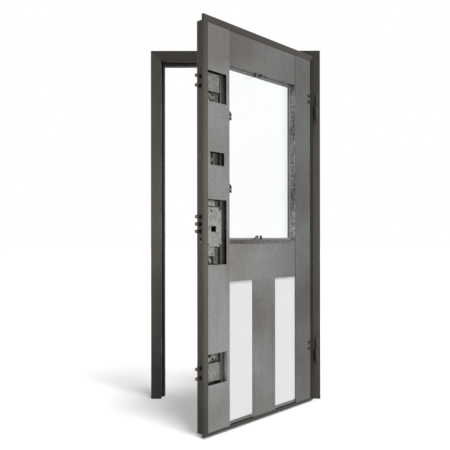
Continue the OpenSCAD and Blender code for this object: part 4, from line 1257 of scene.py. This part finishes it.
limiter = {  # heights are from the plate's foot; rows of holes and screws as for the lock's fittings
    "plate": (31, 66, 1380, 1442), "depth": 20, "thick": 2, "plateHoles": ((48, 48, 3.6), (58, 18, 4)),
    "arm": (50, 92, 20, 34), "armRaise": 5, "armHole": (84, 27, 2.6), "back": (33, 140), "backMargin": 4,
    "backDepth": 38, "backHole": (98, 16, 6), "pin": (4, 5),
    "stud": ((1.8, -0.9), (2.8, -0.6), (3, 0), (3, 3)), "studDrop": 91, "screwHeight": 2.2,
    "screws": ((54, 20, 44, 5), (50, 20, 8, 4.4), (74, 25, 27, 4), (60, 20, 52, 3.4)),
}


# The limiter behind its opening: a plate with holes, an arm, its pin on the leaf's edge and a stud below it.
def buildLimiter():
    left, right, z0, z1 = limiter["plate"]
    depth, thick = limiter["depth"], limiter["thick"]
    plate = leafPlate(openingLoop(left, right, z0, z1),
                      [circle((s, z0 + rise), radius, 16) for s, rise, radius in limiter["plateHoles"]], depth, thick)
    near, far, bottom, top = limiter["arm"]
    s, rise, radius = limiter["armHole"]
    arm = leafPlate(openingLoop(near, far, z0 + bottom, z0 + top, 6), [circle((s, z0 + rise), radius, 12)],
                    depth + limiter["armRaise"], thick)
    radius, length = limiter["pin"]
    pin = [(0.6 * radius, -length), (0.9 * radius, -0.85 * length), (radius, -0.6 * length), (radius, 6)]
    brightPiece("doorLimiter", [plate, arm, turned(pin, (bodyLeft, boltDepth, trim["pinHeight"]), bodyAxis),
                                turned(limiter["stud"], (bodyLeft, boltDepth, lockMiddle - limiter["studDrop"]),
                                       bodyAxis, 20)], ["door_limiter"])
    rows = [(s, at, z0 + rise, radius) for s, at, rise, radius in limiter["screws"]]
    brightPiece("limiterScrews", darkScrews(rows, limiter["screwHeight"]), finish="hole")
    s, rise, radius = limiter["backHole"]
    margin = limiter["backMargin"]
    back = leafPlate(openingLoop(*limiter["back"], z0 - margin, z1 + margin), [circle((s, z0 + rise), radius)],
                     limiter["backDepth"], thick)
    brightPiece("limiterBackPlate", [back], finish="dull")


buildLimiter()


# A round bar along s with chamfered ends, from start to stop.
def bar(start, stop, radius, depth, z, chamfer=1.6):
    rows = [(radius - chamfer, 0), (radius - 0.35 * chamfer, 0.35 * chamfer), (radius, chamfer),
            (radius, stop - start - chamfer), (radius - chamfer, stop - start)]
    return turned(rows, (start, depth, z), bodyAxis, 32)


for name, node in (("mainBolts", "main_bolts"), ("upperBolts", "upper_bolts"), ("lowerBolts", "lower_bolts")):
    low, high = leafBox(node)
    makePiece(name, [bar(low[0], high[0], (high[1] - low[1]) / 2, boltDepth, z) for z in boltGroups[node]], onLeaf,
              node, finishes["steel"], [node])
for name, node in (("upperRod", "upper_rod"), ("lowerRod", "lower_rod")):
    low, high = leafBox(node)
    radius = (high[0] - low[0]) / 2
    length = high[2] - low[2]
    rows = [(radius - 0.8, 0), (radius, 0.8), (radius, length - 0.8), (radius - 0.8, length)]
    centre = ((low[0] + high[0]) / 2, (low[1] + high[1]) / 2, low[2])
    makePiece(name, [turned(rows, centre, upAxis)], onLeaf, node, finishes["steel"], [node])
print("lock built")


wing = {"armInset": (6.6, 2, 8.4), "armReach": (3.6, 10.6, 0.4), "plateLeft": 888, "plateDepth": (6, 11),
        "plateFoot": 8, "plateReach": 4, "edge": 1, "washerRows": ((0, 0), (0, 0.7), (0.5, 1)), "boltSink": 0.9}


# The leaf's half of a hinge: a capped barrel, an arm through the lip and a plate with two dark bolts.
def buildHingeWing(name, node, z):
    half = hingePart["half"]
    s, w = np.array(hingeAt) - leafCorner[:2]
    before, behind, foot = wing["armInset"]
    beyond, depth, head = wing["armReach"]
    near, far = wing["plateDepth"]
    shells = [turned(barrelRows(1), (s, w, z), upAxis, 32),
              roundBlock((s - before, w + behind, z + foot), (s + beyond, depth, z + half - head), wing["edge"]),
              roundBlock((wing["plateLeft"], near, z + wing["plateFoot"]), (s + wing["plateReach"], far, z + half),
                         wing["edge"])]
    brownPiece(name, shells, onLeaf, "leaf", [node], "brownHinge")
    washer = [(wingBolt["washer"] - inset, along) for inset, along in wing["washerRows"]]
    bolts = []
    for rise in wingBolt["rises"]:
        bolts.append(turned(washer, (wingBolt["s"], stripDepth, z + rise), inwardAxis))
        bolts.append(screw((wingBolt["s"], stripDepth - wing["boltSink"], z + rise), inwardAxis, wingBolt["head"],
                           wingBolt["headHeight"] - wing["boltSink"]))
    makePiece(name + "Bolts", bolts, onLeaf, "leaf", finishes["hole"])


buildHingeWing("upperHingeWing", "upper_hinge_wing", hingeHeights[0])
buildHingeWing("lowerHingeWing", "lower_hinge_wing", hingeHeights[1])

dogLow, dogHigh = leafBox("fixed_dogs")
dogRadius = (dogHigh[1] - dogLow[1]) / 2
dogLength = dogHigh[0] - dogLow[0]
dogRows = [(dogRadius, 0), (dogRadius, dogLength - 3), (dogRadius - 0.6, dogLength - 1.2),
           (dogRadius - 2.2, dogLength)]
makePiece("fixedDogs", [turned(dogRows, (dogLow[0], boltDepth, z), bodyAxis, 32) for z in middles("fixed_dogs")],
          onLeaf, "leaf", finishes["steel"], ["fixed_dogs"])
print("hinge side built")
